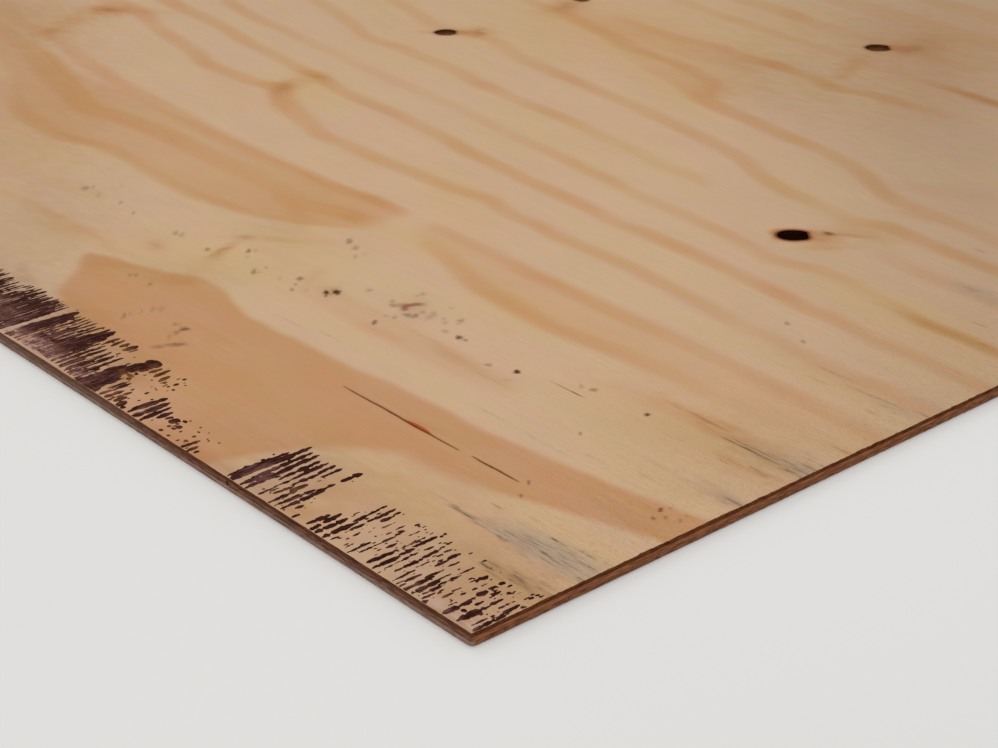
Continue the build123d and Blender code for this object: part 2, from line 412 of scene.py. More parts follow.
# Darker places. Those past 600 along, and those beyond 700 across, are painted shade where the light
# falls off at the sides of the main view. The rest darken the near end, the near long edge and places
# between.
shade_smudges = rows_of(Smudge, (
    (930, 255, 430, 180, 150, 0.55), (1110, 340, 220, 160, 150, 0.55), (40, 40, 150, 90, 0, 0.8),
    (160, 42, 120, 60, 0, 0.5), (90, 240, 120, 80, 0, 0.3), (650, 110, 160, 60, 150, 0.6),
    (530, 832, 170, 120, 160, 0.6), (339, 822, 240, 200, 150, 0.45), (1170, 390, 200, 130, 150, 0.6),
    (272, 36, 80, 50, 0, 0.4), (187, 29, 60, 40, 0, 0.5), (35, 273, 110, 50, 0, 0.5),
    (655, 112, 190, 130, 150, 0.85), (130, 94, 90, 40, 0, 0.4), (490, 960, 280, 160, 150, 0.7),
    (250, 716, 200, 120, 160, 0.4), (31, 146, 70, 40, 0, 0.5), (33, 208, 70, 40, 0, 0.5),
    (780, 180, 230, 130, 150, 0.42), (520, 250, 110, 60, 150, 0.4), (515, 150, 120, 50, 30, 0.5),
    (350, 800, 160, 120, 150, 0.4), (480, 775, 160, 110, 150, 0.45), (210, 3, 440, 16, 0, 0.7),
))
brown_smudges = rows_of(Smudge, (
    (243, 562, 14, 8, 49, 0.45), (497, 966, 30, 18, 100, 0.3), (815, 702, 14, 8, 131, 0.3),
    (804, 691, 18, 9, 131, 0.38), (796, 452, 34, 12, 130, 0.22), (802, 497, 24, 9, 0, 0.16),
    (1110, 464, 26, 16, 30, 0.3), (1083, 382, 22, 14, 0, 0.14), (529, 225, 14, 8, 49, 0.34),
    (519, 197, 26, 5, 110, 0.3), (508, 186, 14, 6, 140, 0.18), (560, 166, 16, 7, 150, 0.14),
    (70, 489, 110, 6, 0, 0.14), (360, 903, 80, 7, 0, 0.16), (820, 844, 10, 8, 40, 0.55),
    (814, 814, 26, 14, 120, 0.18), (268, 209, 34, 7, 0, 0.1), (404, 213, 22, 9, 120, 0.22),
    (343, 240, 40, 18, 130, 0.12), (20, 263, 90, 36, 0, 0.17), (14, 207, 40, 12, 0, 0.2),
    (28, 54, 70, 14, 0, 0.24), (460, 22, 90, 66, 0, 0.45), (535, 22, 110, 80, 0, 0.45),
    (389, 20, 40, 60, 0, 0.35), (14, 3, 70, 14, 0, 0.22), (30, 24, 120, 60, 0, 0.14),
    (205, 26, 90, 60, 90, 0.22), (600, 26, 120, 70, 0, 0.35),
))
orange_smudges = rows_of(Smudge, (
    (274, 535, 14, 7, 80, 0.65), (266, 526, 24, 7, 135, 0.4), (206, 129, 30, 9, 0, 0.5),
    (506, 312, 60, 26, 0, 0.22), (525, 345, 60, 9, 0, 0.22), (92, 270, 60, 5, 0, 0.36),
    (30, 243, 50, 4, 0, 0.42), (40, 262, 90, 16, 0, 0.18), (100, 273, 60, 3, 0, 0.3),
    (76, 275, 36, 3, 0, 0.42), (52, 247, 44, 3, 0, 0.28), (12, 248, 28, 3, 0, 0.38),
    (8, 304, 24, 4, 0, 0.4), (800, 455, 50, 20, 130, 0.3), (519, 197, 40, 8, 110, 0.3),
    (820, 815, 40, 26, 120, 0.3), (503, 966, 44, 20, 49, 0.5), (236, 548, 30, 26, 100, 0.22),
    (811, 688, 40, 14, 49, 0.55), (1108, 464, 50, 30, 20, 0.3), (345, 240, 60, 30, 0, 0.14),
    (405, 213, 30, 16, 0, 0.22), (100, 30, 50, 24, 0, 0.2), (124, 10, 16, 10, 0, 0.4),
    (155, 12, 34, 24, 90, 0.35), (190, 28, 26, 18, 0, 0.45), (183, 40, 18, 10, 0, 0.25),
    (258, 5, 90, 20, 0, 0.5), (175, 5, 60, 18, 0, 0.4), (40, 12, 16, 14, 0, 0.25),
    (88, 21, 10, 6, 0, 0.4), (175, 137, 44, 12, 10, 0.25), (491, 141, 36, 18, 49, 0.45),
    (560, 112, 50, 8, 30, 0.2), (97, 262, 130, 9, 0, 0.26), (233, 570, 44, 6, 38, 0.62),
    (225, 541, 44, 7, 52, 0.32), (842, 658, 20, 12, 49, 0.4),
))

# How many of its lengths or widths away a mark has gone
smudge_end = 1.6


def smudged(smudges, along, across):
    """How strong the marks of a list are at each place, from 0 to 1."""
    left = np.ones_like(along)
    for mark in smudges:
        forward, aside = slanted(mark, mark.turn, along, across)
        reach = np.hypot(forward / mark.long, aside / mark.wide)
        near = reach < smudge_end
        ragged = noise(along[near] / 9, across[near] / 3, seed=13) - 0.5
        left[near] *= 1 - mark.tone * np.exp(-(2.1 * reach[near] + 0.5 * ragged) ** 2)
    return 1 - left


# The lines that the fibres follow: the middles of the long bands, from the near edge to the far one
fibre_guides = (4, 7, 8, 9, 11, 12, 13, 17, 18, 19, 20, 21)
guide_place = 300.0
# The least room between two of them, and how far outside the sheet the first and last lie
guide_room = 4
guide_margin = 40.0


def fibre_line(along, across):
    """The place across the sheet, at guide_place, of the fibre that passes through each place."""
    low_place = np.full_like(along, -guide_margin)
    low_value = -guide_margin
    line = across.copy()
    for index in (*fibre_guides, None):
        if index is None:
            middle = np.full_like(along, width + guide_margin)
            value = width + guide_margin
        else:
            places, low, high, _ = lines_of(bands[index].stations)
            middle = (np.interp(along, places, low) + np.interp(along, places, high)) / 2
            value = float(np.interp(guide_place, places, (low + high) / 2))
        middle = np.maximum(middle, low_place + guide_room)
        value = max(value, low_value + guide_room)
        here = (across >= low_place) & (across < middle)
        share = (across - low_place) / (middle - low_place)
        line = np.where(here, low_value + share * (value - low_value), line)
        low_place, low_value = middle, value
    return line


# Knots. Open ones have a hole through the face veneer, with the rest of the knot beside it.
# turn is the direction from the hole to its sound part, in degrees from the sheet's length.
# tone is how dark the sound part is and char how dark the hole, partly dark bark and partly painted shade
# inside it.
Knot = namedtuple("Knot", "along across hole_long hole_wide turn sound_long sound_wide tone char")

open_knots = rows_of(Knot, (
    (259, 540, 25, 20, 49, 23, 21, 0.35, 1.0),
    (521, 950, 24, 19, 49, 22, 18, 0.40, 0.42),
    (829, 671, 22, 18, 49, 20, 14, 0.35, 0.32),
    (826, 849, 18, 15, -75, 26, 17, 0.25, 0.20),
))
# Tight knots have no hole
tight_knots = rows_of(Knot, (
    (1480, 330, 0, 0, 10, 24, 20, 0.8, 0),
    (1835, 905, 0, 0, 30, 28, 22, 0.9, 0),
    (2110, 480, 0, 0, 0, 20, 18, 0.75, 0),
    (1330, 1010, 0, 0, 20, 17, 15, 0.7, 0),
))
all_knots = (*open_knots, *tight_knots)

# The hole's flat side, where the sound part stays, as a share of the hole's half length
hole_flat = 0.84
# How far the sound part reaches under the hole, as a share of its length
sound_offset = 0.36
# How ragged a hole and a sound part are, as shares of their sizes
hole_ragged = 0.05
sound_ragged = 0.12


def oval_distance(x, y, half_x, half_y):
    """About how far each place lies outside an oval, negative inside it."""
    reach = np.hypot(x / half_x, y / half_y) + 1e-6
    slope = np.hypot(x / half_x ** 2, y / half_y ** 2) / reach + 1e-9
    return (reach - 1) / slope


def hole_distance(knot, along, across):
    """How far each place lies outside a knothole, negative inside it."""
    x, y = slanted(knot, knot.turn, along, across)
    ragged = 1 + hole_ragged * (noise(np.arctan2(y, x) * 2.5 + 20, seed=knot.along) * 2 - 1)
    oval = oval_distance(x, y, knot.hole_long / 2 * ragged, knot.hole_wide / 2 * ragged)
    return np.maximum(oval, x - hole_flat * knot.hole_long / 2)


def sound_distance(knot, along, across):
    """How far each place lies outside a knot's sound part."""
    x, y = slanted(knot, knot.turn, along, across)
    forward = 0.0
    if knot.hole_long > 0:
        forward = hole_flat * knot.hole_long / 2 + knot.sound_long * sound_offset
    ragged = 1 + sound_ragged * (noise(np.arctan2(y, x - forward) * 2 + 30, seed=knot.across) * 2 - 1)
    return oval_distance(x - forward, y, knot.sound_long / 2 * ragged, knot.sound_wide / 2 * ragged)


# Specks of dirt on the face. long is their length away from the near corner, wide their width
# square to it, dark how dark and red how reddish they are.
Speck = namedtuple("Speck", "along across long wide dark red", defaults=(0.0,))

specks = rows_of(Speck, (
    (505, 211, 9.8, 4.1, 0.6), (497, 204, 7.0, 4.8, 0.15), (470, 191, 9.8, 4.1, 0.5),
    (467, 194, 4.2, 3.0, 0.25), (470, 202, 7.0, 2.9, 0.25), (448, 198, 8.4, 3.4, 0.16),
    (438, 209, 9.0, 5.0, 0.55), (432, 201, 7.0, 2.6, 0.28), (426, 193, 7.6, 3.4, 0.42),
    (419, 201, 7.0, 3.4, 0.12), (405, 208, 11.2, 3.8, 1.0), (401, 209, 4.9, 2.2, 0.3),
    (402, 215, 9.8, 5.9, 1.0), (471, 279, 12.6, 5.0, 0.45), (457, 274, 10.5, 5.5, 0.34),
    (444, 264, 9.8, 3.4, 0.26), (443, 272, 7.0, 3.4, 0.12), (389, 234, 7.0, 4.3, 0.32),
    (362, 234, 8.4, 3.6, 0.3), (343, 203, 8.1, 4.3, 0.7), (351, 238, 7.0, 17.0, 0.7, 1.0),
    (349, 235, 12.0, 7.0, 0.85, 1.0), (347, 245, 7.0, 10.0, 0.65, 1.0),
    (357, 231, 7.0, 8.0, 0.45, 1.0), (359, 259, 7.0, 4.8, 0.26), (359, 254, 5.0, 3.4, 0.2),
    (338, 228, 9.0, 6.7, 0.5), (333, 231, 9.0, 4.3, 0.5), (341, 219, 6.7, 4.3, 0.3),
    (347, 216, 4.8, 4.1, 0.2), (334, 239, 6.7, 4.8, 0.26), (325, 237, 11.2, 6.5, 0.22),
    (327, 243, 8.4, 4.8, 0.26), (311, 240, 8.4, 4.8, 0.2), (327, 259, 4.8, 4.1, 0.18),
    (306, 250, 8.4, 5.8, 0.36), (304, 246, 6.4, 4.1, 0.2), (316, 243, 6.4, 3.4, 0.2),
    (300, 231, 6.4, 5.8, 0.3), (286, 232, 6.7, 5.3, 0.85), (280, 232, 5.3, 4.6, 0.5),
    (241, 219, 6.4, 4.8, 0.38), (220, 226, 7.3, 4.6, 1.0), (215, 213, 6.2, 7.7, 0.12),
    (696, 187, 11.2, 6.2, 0.36), (694, 192, 9.8, 3.1, 0.26), (677, 187, 11.2, 3.1, 0.2),
    (681, 211, 8.4, 3.6, 0.12), (652, 192, 11.2, 3.5, 0.3), (626, 187, 9.8, 3.1, 0.34),
    (570, 189, 10.5, 4.6, 0.32), (564, 191, 12.6, 4.6, 0.26), (527, 189, 9.1, 3.8, 0.45),
    (502, 215, 7.0, 4.6, 0.16), (524, 120, 9.8, 3.4, 0.22), (521, 123, 9.8, 3.4, 0.28),
    (501, 122, 10.6, 3.5, 0.32), (465, 92, 9.0, 2.6, 0.16), (462, 99, 12.6, 3.4, 0.22),
    (459, 104, 12.6, 4.8, 0.15), (466, 78, 11.2, 3.5, 0.4, 0.8), (466, 83, 9.0, 2.6, 0.15),
    (431, 97, 8.4, 3.4, 0.28), (429, 100, 6.7, 3.4, 0.16), (420, 98, 8.1, 7.0, 0.7),
    (419, 91, 9.0, 4.3, 0.36), (416, 83, 13.4, 3.4, 0.2), (403, 80, 7.0, 13.2, 0.55),
    (408, 69, 6.3, 10.8, 0.4), (28, 168, 5.6, 3.6, 1.0, 0.4), (20, 164, 5.0, 2.6, 0.36, 0.4),
    (24, 158, 5.6, 3.1, 0.7, 0.4), (12, 168, 5.0, 2.6, 0.3), (13, 174, 5.0, 2.6, 0.24),
    (26, 174, 4.5, 2.6, 0.22), (120, 248, 6.4, 3.8, 0.9), (129, 198, 5.6, 2.6, 0.4),
    (103, 132, 5.6, 2.6, 0.55), (94, 118, 5.6, 2.6, 0.45), (155, 417, 7.0, 4.1, 0.4),
    (128, 404, 7.0, 4.1, 0.36), (168, 246, 5.6, 5.5, 0.45), (176, 243, 7.0, 3.6, 0.3),
    (500, 122, 7.0, 3.1, 0.1), (244, 562, 7.0, 6.5, 0.95, 0.5),
))
# The direction of the specks' length, in degrees as for the soft marks
speck_turn = 139.0

# Dark lines of opened grain: the two ends along, the place across, the width and how dark.
Line = namedtuple("Line", "start end across wide dark")

opened_lines = rows_of(Line, (
    (160, 199, 234.0, 1.3, 0.85), (11, 74, 261.4, 1.8, 1.0), (20, 72, 265.0, 1.3, 0.7),
    (8, 40, 267.2, 1.1, 0.5), (0, 20, 259.5, 1.6, 0.7), (0, 16, 265.0, 2.2, 0.5),
    (0, 12, 272.0, 1.8, 0.4), (0, 18, 280.0, 1.2, 0.35), (30, 54, 238.5, 1.1, 0.35),
    (12, 33, 245.6, 1.4, 0.45), (0, 17, 207.4, 2.6, 0.6), (4, 14, 203.4, 1.2, 0.3),
    (70, 128, 270.5, 1.1, 0.35), (54, 70, 190.2, 1.2, 0.4), (88, 110, 183.0, 1.1, 0.25),
    (88, 117, 79.4, 1.6, 0.9), (78, 100, 77.2, 1.3, 0.65), (82, 104, 81.6, 1.0, 0.45),
    (48, 72, 84.4, 1.2, 0.9), (58, 71, 78.2, 1.3, 0.65), (60, 66, 74.6, 1.1, 0.55),
    (39, 47, 74.0, 1.2, 0.6), (28, 41, 84.2, 1.6, 0.9), (33, 48, 98.6, 1.7, 0.9),
    (11, 27, 101.4, 1.5, 0.85), (8, 26, 86.6, 1.0, 0.5), (0, 7, 80.6, 2.0, 0.8),
    (52, 62, 90.0, 1.0, 0.4), (34, 44, 92.0, 1.0, 0.4), (18, 30, 95.0, 1.0, 0.4),
    (2, 12, 93.0, 1.2, 0.45), (0, 9, 103.0, 1.3, 0.4), (66, 78, 88.0, 1.0, 0.35),
    (40, 55, 50.6, 1.5, 0.85), (10, 32, 51.6, 1.6, 0.85), (38, 54, 55.0, 1.3, 0.6),
    (20, 36, 59.0, 1.2, 0.5), (28, 48, 47.4, 1.1, 0.5), (2, 18, 62.0, 1.3, 0.5),
    (18, 34, 55.6, 1.4, 0.65), (0, 14, 57.6, 1.4, 0.6), (0, 9, 51.0, 1.1, 0.35),
    (88, 101, 99.2, 1.0, 0.4), (64, 74, 105.0, 0.9, 0.22), (116, 134, 80.6, 1.0, 0.45),
    (10, 74, 375.5, 1.4, 0.35), (58, 100, 382.0, 1.2, 0.3), (20, 36, 370.0, 1.3, 0.35),
    (0, 12, 380.0, 2.4, 0.4), (70, 98, 366.5, 1.2, 0.3), (22, 36, 358.0, 1.2, 0.3),
    (0, 18, 303.5, 1.1, 0.45), (196, 246, 206.0, 1.0, 0.3), (170, 200, 173.5, 0.9, 0.24),
    (106, 160, 172.5, 0.9, 0.2), (20, 96, 205.5, 0.9, 0.22), (36, 50, 492.4, 1.5, 0.35),
    (58, 74, 516.2, 1.5, 0.35), (282, 322, 214.5, 0.9, 0.2), (356, 404, 160.0, 0.9, 0.22),
    (330, 366, 166.0, 0.9, 0.2), (142, 156, 622.0, 1.6, 0.3),
))


def dirt(along, across):
    """How dark the specks make each place, and how red, from 0 to 1."""
    amount, red = np.zeros_like(along), np.zeros_like(along)
    for speck in specks:
        forward, aside = slanted(speck, speck_turn, along, across)
        x, y = forward / speck.long * 2, aside / speck.wide * 2
        near = (np.abs(x) < 2.5) & (np.abs(y) < 2.5)
        ragged = noise(along[near] / 1.7, across[near] / 1.7, seed=11) - 0.5
        reach = np.hypot(x[near], y[near]) + 0.8 * ragged
        here = speck.dark * smooth(-reach, -1.3, -0.4)
        amount[near] = np.maximum(amount[near], here)
        red[near] = np.maximum(red[near], speck.red * here)
    return amount, red


# How far a line is drawn to each side, and the share of its length over which an end fades
line_room = 4
line_fade = 0.3
# A distance at which nothing counts as near any more
far_away = 99.0


def opened_grain(along, across):
    """How dark the lines of opened grain make each place, from 0 to 1."""
    amount = np.zeros_like(along)
    for number, line in enumerate(opened_lines):
        near = np.abs(across - line.across) < line_room
        a, b = along[near], across[near]
        fade = line_fade * (line.end - line.start)
        on_line = smooth(a, line.start - 2, line.start + fade) if line.start > 0 else 1.0
        on_line = on_line * smooth(-a, -line.end, -line.end + fade)
        sway = 0.8 * (noise(a / 9, number, seed=4) - 0.5)
        broken = 0.35 + 1.0 * noise(a / 3, number * 2.3, seed=6)
        gap = np.abs(b - line.across - sway) / (line.wide / 2)
        amount[near] = np.maximum(amount[near], line.dark * on_line * broken * smooth(-gap, -1.5, -0.5))
    return np.clip(amount, 0, 1)


def line_distance(along, across):
    """How far each place lies from the nearest opened line."""
    least = np.full_like(along, far_away)
    for line in opened_lines:
        past_end = np.maximum(np.maximum(line.start - along, along - line.end), 0)
        least = np.minimum(least, np.hypot(past_end, across - line.across))
    return least


# Splits: across, and the two ends of each along the sheet. They lie one behind the other.
splits = ((128.0, 108.0, 150.0), (127.0, 162.0, 278.0))
split_half_width = 0.5
split_depth = 1.5
split_sway = 0.7
# The drop of resin in the longer split
resin_middle = (201.5, 127.4)
resin_long, resin_wide = 27.0, 4.8


def split_distance(along, across):
    """How far each place lies outside the nearest split, negative inside it."""
    least = np.full_like(along, far_away)
    for line, near_tip, far_tip in splits:
        middle, reach = (near_tip + far_tip) / 2, (far_tip - near_tip) / 2
        wide = split_half_width * (1 - np.clip(np.abs(along - middle) / reach, 0, 1) ** 2)
        sway = split_sway * (noise(along / 14, seed=9) - 0.5)
        past_tip = np.maximum(np.abs(along - middle) - reach, 0)
        aside = np.abs(across - line - sway) - wide
        least = np.minimum(least, np.hypot(aside, past_tip) * np.sign(aside + past_tip))
    return least


# Blue stain: along, across, long, wide and how strong
stains = (
    (32, 87, 110, 34, 0.85), (66, 82, 60, 16, 0.75), (14, 92, 60, 30, 0.45), (96, 79, 50, 5, 0.5),
    (4, 267, 50, 18, 0.55), (36, 263, 60, 7, 0.35), (95, 560, 80, 26, 0.5), (20, 372, 60, 12, 0.25),
    (8, 395, 50, 10, 0.2), (8, 207, 30, 10, 0.4),
)


# Cells of the surface meshes

# The sides of the largest and the smallest cell
largest_cell = 10.0
smallest_cell = largest_cell / 32
# How much larger a cell may be for each millimetre that it lies from a detail
cell_growth = 0.56
# A cell is divided where the side it may have is under this share of its own
coarsest_share = 0.8
# The cells at the sheet's sides, and where the main view comes close to them
side_cell = 2.5
close_cell = 1.25
close_along, close_across = 560, 500
near_growth = 0.6
# The largest cells in the main view
picture_cell = 5.0
# The cells at a knothole, at an opened line and at a split
hole_cell = 0.625
line_cell, line_growth = 0.8, 0.75
split_cell, split_growth = 0.3125, 0.5
# How many cells lie across a speck
speck_cells = 3.0

# The sides of the main view on the face: a point's along and across, and how across changes
view_left = (500, -20, 0.558)
view_right = (0, 460, 1.3156)
view_top = (1220, 400, -1.151)


def view_side(side, along):
    """Where a side of the main view lies across the sheet."""
    from_along, from_across, slope = side
    return from_across + (along - from_along) * slope


def in_picture(along, across):
    """True where the main view shows the face, whose figure needs finer cells."""
    left = across > view_side(view_left, along)
    return left & (across < view_side(view_right, along)) & (across < view_side(view_top, along))


def face_cell_size(along, across):
    """The side that a cell of the face may have."""
    close_up = (along < close_along) & (across < close_across)
    from_near = np.where(close_up, close_cell, side_cell) + near_growth * np.minimum(along, across)
    from_far = side_cell + cell_growth * np.minimum(length - along, width - across)
    size = np.minimum(from_near, from_far)
    size = np.minimum(size, np.where(in_picture(along, across), picture_cell, largest_cell))
    for knot in open_knots:
        size = np.minimum(size, hole_cell + cell_growth * np.abs(hole_distance(knot, along, across)))
    for knot in all_knots:
        outside = np.maximum(sound_distance(knot, along, across), 0)
        size = np.minimum(size, side_cell + cell_growth * outside)
    for speck in specks:
        apart = np.hypot(along - speck.along, across - speck.across)
        apart = np.maximum(apart - max(speck.long, speck.wide) / 2, 0)
        size = np.minimum(size, min(speck.long, speck.wide) / speck_cells + near_growth * apart)
    size = np.minimum(size, line_cell + line_growth * line_distance(along, across))
    upper_side = np.abs(patch_depth(along, across)[0])
    upper_side = np.where(upper_side < patch_kept - 1, upper_side, far_away)
    size = np.minimum(size, side_cell + cell_growth * upper_side)
    return np.minimum(size, split_cell + split_growth * np.abs(split_distance(along, across)))


def back_cell_size(along, across):
    """The side that a cell of the underside may have."""
    return np.minimum(side_cell + cell_growth * from_sides(along, across), largest_cell)


def surface_cells(cell_size):
    """Square cells over the sheet, as columns of left, low and side in smallest cells."""
    side = int(largest_cell / smallest_cell)
    columns = np.arange(0, int(length / smallest_cell), side)
    rows = np.arange(0, int(width / smallest_cell), side)
    left, low = (grid.ravel() for grid in np.meshgrid(columns, rows))
    kept = []
    while side > 1:
        half = side / 2 * smallest_cell
        along, across = length - left * smallest_cell - half, low * smallest_cell + half
        divide = cell_size(along, across) < coarsest_share * side * smallest_cell
        kept.append(np.stack([left[~divide], low[~divide], np.full((~divide).sum(), side)], 1))
        side //= 2
        left = np.concatenate([left[divide] + step for step in (0, side, 0, side)])
        low = np.concatenate([low[divide[:len(low)]] + step for step in (0, 0, side, side)])
        if side == 1:
            kept.append(np.stack([left, low, np.full(len(left), 1)], 1))
    return np.concatenate(kept)


def cell_polygons(cells):
    """The cells as polygons, each with the corners of smaller neighbours that lie on its sides."""
    stride = 1 << 16
    corner_keys = set()
    for over, up in ((0, 0), (1, 0), (1, 1), (0, 1)):
        corner_keys.update(((cells[:, 0] + over * cells[:, 2]) * stride
                            + cells[:, 1] + up * cells[:, 2]).tolist())
    keys = sorted(corner_keys)
    number = {key: index for index, key in enumerate(keys)}

    def side_points(start, end, reach):
        """The corners on a side, from its start up to but not with its end."""
        if reach > 1:
            middle = (start + end) // 2
            if middle in number:
                half = reach // 2
                return side_points(start, middle, half) + side_points(middle, end, half)
        return [number[start]]

    polygons = []
    for left, low, side in cells.tolist():
        a, b = left * stride + low, (left + side) * stride + low
        c, d = b + side, a + side
        polygons.append(side_points(a, b, side) + side_points(b, c, side)
                        + side_points(c, d, side) + side_points(d, a, side))
    packed = np.array(keys)
    return np.stack([packed // stride, packed % stride], 1) * smallest_cell, polygons


def border_loops(polygons):
    """The closed rows of points round the polygons, longest first."""
    steps = {}
    for polygon in polygons:
        for start, end in zip(polygon, polygon[1:] + polygon[:1]):
            steps[start, end] = True
    following = {start: end for start, end in steps if (end, start) not in steps}
    loops = []
    while following:
        start, end = following.popitem()
        loop = [start]
        while end != start:
            loop.append(end)
            end = following.pop(end)
        loops.append(loop)
    return sorted(loops, key=len, reverse=True)


def running_length(loop, along, across):
    """How far along a closed row of points each of its points lies."""
    here = np.stack([along[loop], across[loop]], 1)
    return np.concatenate([[0], np.cumsum(np.hypot(*np.diff(here, axis=0).T))])


# The edges, where the saw left the veneers worn and uneven

# How fast the wear of an arris dies away from it
wear_reach = 1.6
# The sizes of the finest chips at the near end, at the near edge and at the far sides
end_chips, edge_chips, far_chips = 0.9, 1.2, 2.5
# How deep and how long the wear of the long edges is beside that of the ends
edge_share = 0.5
edge_stretch = 2.5


def arris_wear(place, finest, seed):
    """How far the upper arris is worn back at each place along it, in millimetres."""
    teeth = noise(place / finest, seed=seed) ** 2
    chips = smooth(noise(place / 13, seed=seed + 1), 0.68, 0.9)
    slivers = smooth(noise(place / 2.6, seed=seed + 2), 0.6, 0.95)
    return 0.05 + 0.45 * teeth + 0.45 * chips + 0.35 * slivers


def wear_at(side, place, finest, seed):
    """How far the wear of an arris draws a surface back, at some distance from its side."""
    return arris_wear(place, finest, seed) * np.exp(-side / wear_reach)


def worn(along, across, seed):
    """The places of the points of a surface, drawn back where its arrises are worn."""
    stretched = along / edge_stretch
    near_end = wear_at(along, across, end_chips, seed)
    far_end = wear_at(length - along, across, far_chips, seed + 3)
    near_edge = wear_at(across, stretched, edge_chips, seed + 6)
    far_edge = wear_at(width - across, stretched, far_chips, seed + 9)
    return along + near_end - far_end, across + edge_share * near_edge - edge_share * far_edge


# The knock on the near corner, which took its lower tip off
knock_run = 2.5
knock_top = core_high


def knocked(along, across, height):
    """Places drawn back from the near corner below the top of the knock."""
    reach = knock_run * np.clip(1 - height / knock_top, 0, 1)
    back = np.clip(reach - (along + across) / 2, 0, None) / 2
    return along + back, across + back


def into_wood(loop, along, across, outline):
    """The direction into the wood at each point of a loop, along and across."""
    a, b = along[loop], across[loop]
    if outline is not None:
        step = 0.05
        slope_along = outline(a + step, b) - outline(a - step, b)
        slope_across = outline(a, b + step) - outline(a, b - step)
    else:
        on_side = 0.01
        slope_along = (a < on_side) * 1.0 - (a > length - on_side)
        slope_across = (b < on_side) * 1.0 - (b > width - on_side)
    size = np.hypot(slope_along, slope_across) + 1e-9
    return slope_along / size, slope_across / size


# A veneer's wall has a row of points at each of these depths below its open face.
# recess is how far the row lies inside the sawn outline, rough how uneven it is.
WallRow = namedtuple("WallRow", "depth recess rough")

veneer_thickness = face_high - face_low
wall_rows = (
    WallRow(0.5, 0.02, 0.16), WallRow(veneer_thickness - 0.5, 0.0, 0.16),
    WallRow(veneer_thickness, 0.12, 0.10),
)

# How much more uneven the wall of a knothole is than a sawn one
hole_unevenness = 2.5

# Material places in a veneer's mesh
open_face, long_edge, end_edge, hole_wall = range(4)

# A triangle with less than this area, twice over, is left out
least_area = 1e-9


def winding(x, y, a, b, c):
    """Twice the area of the triangle of three points, negative where they run clockwise."""
    return (x[b] - x[a]) * (y[c] - y[a]) - (y[b] - y[a]) * (x[c] - x[a])


def flat_triangles(loops, placed, turned_up):
    """Triangles that fill a flat face between closed rows of points, turned up or down."""
    flat = [[Vector((length - placed[i, 0], placed[i, 1], 0)) for i in loop] for loop in loops]
    numbers = np.concatenate(loops)
    triangles = []
    for triangle in tessellate_polygon(flat):
        a, b, c = (numbers[i] for i in triangle)
        turn = winding(placed[:, 0], placed[:, 1], a, b, c)
        if abs(turn) >= least_area:
            triangles.append([a, b, c] if (turn < 0) == turned_up else [a, c, b])
    return triangles


def wall_faces(above, below):
    """The faces between a closed row of points and the one below it."""
    return list(zip(above, below, np.roll(below, -1), np.roll(above, -1)))


def outer_places(in_along, in_across):
    """The material place of each face of an outer wall."""
    return np.where(np.abs(in_along) > np.abs(in_across), end_edge, long_edge).tolist()


def veneer_mesh(name, points, polygons, loops, surface_height, rise, outlines, seed):
    """A veneer: its open face, a wall round each loop and the glued face, as one closed mesh.

    rise is -1 where the walls go down from the open face and 1 where they go up from it.
    """
    along, across = points
    moved_along, moved_across = worn(along, across, seed)
    rows = [np.stack([moved_along, moved_across, surface_height(along, across)], 1)]
    faces = list(polygons)
    places = [open_face] * len(faces)
    glued_loops = []
    count = len(along)
    level = face_high if rise < 0 else back_low
    for loop, outline in zip(loops, outlines):
        size = len(loop)
        in_along, in_across = into_wood(loop, along, across, outline)
        run = running_length(loop, along, across)
        unevenness = 1.0 if outline is None else hole_unevenness
        wall = outer_places(in_along, in_across) if outline is None else [hole_wall] * size
        above = np.array(loop)
        for number, row in enumerate(wall_rows):
            uneven = noise(run / 1.7, number * 7.3, seed=seed + 20)
            uneven = uneven + noise(run / 9, number, seed=seed + 21)
            back = row.recess + row.rough * uneven * unevenness
            rows.append(np.stack([along[loop] + in_along * back, across[loop] + in_across * back,
                                  np.full(size, level + rise * row.depth)], 1))
            below = np.arange(count, count + size)
            faces += wall_faces(above, below)
            places += wall
            count += size
            above = below
        glued_loops.append(above)
    placed = np.concatenate(rows)
    glued = flat_triangles(glued_loops, placed, False)
    faces += glued
    places += [hole_wall] * len(glued)
    if rise > 0:
        faces = [face[::-1] for face in faces]
    placed[:, 0], placed[:, 1] = knocked(placed[:, 0], placed[:, 1], placed[:, 2])
    return sheet_object(name, placed, faces, places), placed


# Faces that meet at more than this are drawn with a sharp edge between them
sharp_angle = math.radians(35)


def sheet_object(name, placed, faces, places):
    """An object from points given by along, across and height in millimetres."""
    mesh = bpy.data.meshes.new(name)
    spots = np.stack([length / 2 - placed[:, 0], placed[:, 1] - width / 2, placed[:, 2]], 1) * mm
    mesh.from_pydata(spots.tolist(), [], [[int(i) for i in face] for face in faces])
    mesh.polygons.foreach_set("material_index", places)
    mesh.polygons.foreach_set("use_smooth", [True] * len(faces))
    mesh.set_sharp_from_angle(angle=sharp_angle)
    mesh.validate(clean_customdata=False)
    mesh.update()
    made = bpy.data.objects.new(name, mesh)
    bpy.context.collection.objects.link(made)
    return made


def add_attribute(made, name, values):
    """Values at the points of a mesh, which its materials read by name."""
    made.data.attributes.new(name, "FLOAT", "POINT").data.foreach_set("value", values)


# The face veneer

# Room above the face's open side for the paint, inside the sheet's thickness
paint_room = 0.06
# How uneven the face is, and how far the rim is rounded
face_waves = 0.10
rim_round = 0.18
rim_reach = 0.6


def rim_drop(along, across):
    """How far a surface lies back at the sheet's sides."""
    return rim_round * np.exp(-np.maximum(from_sides(along, across), 0) / rim_reach)


def face_height(along, across):
    """The height of the face's open side."""
    waves = noise(along / 150, across / 45, seed=31)
    groove = split_depth * smooth(-split_distance(along, across), -0.25, 0.3)
    return face_high - paint_room - face_waves * waves - rim_drop(along, across) - groove


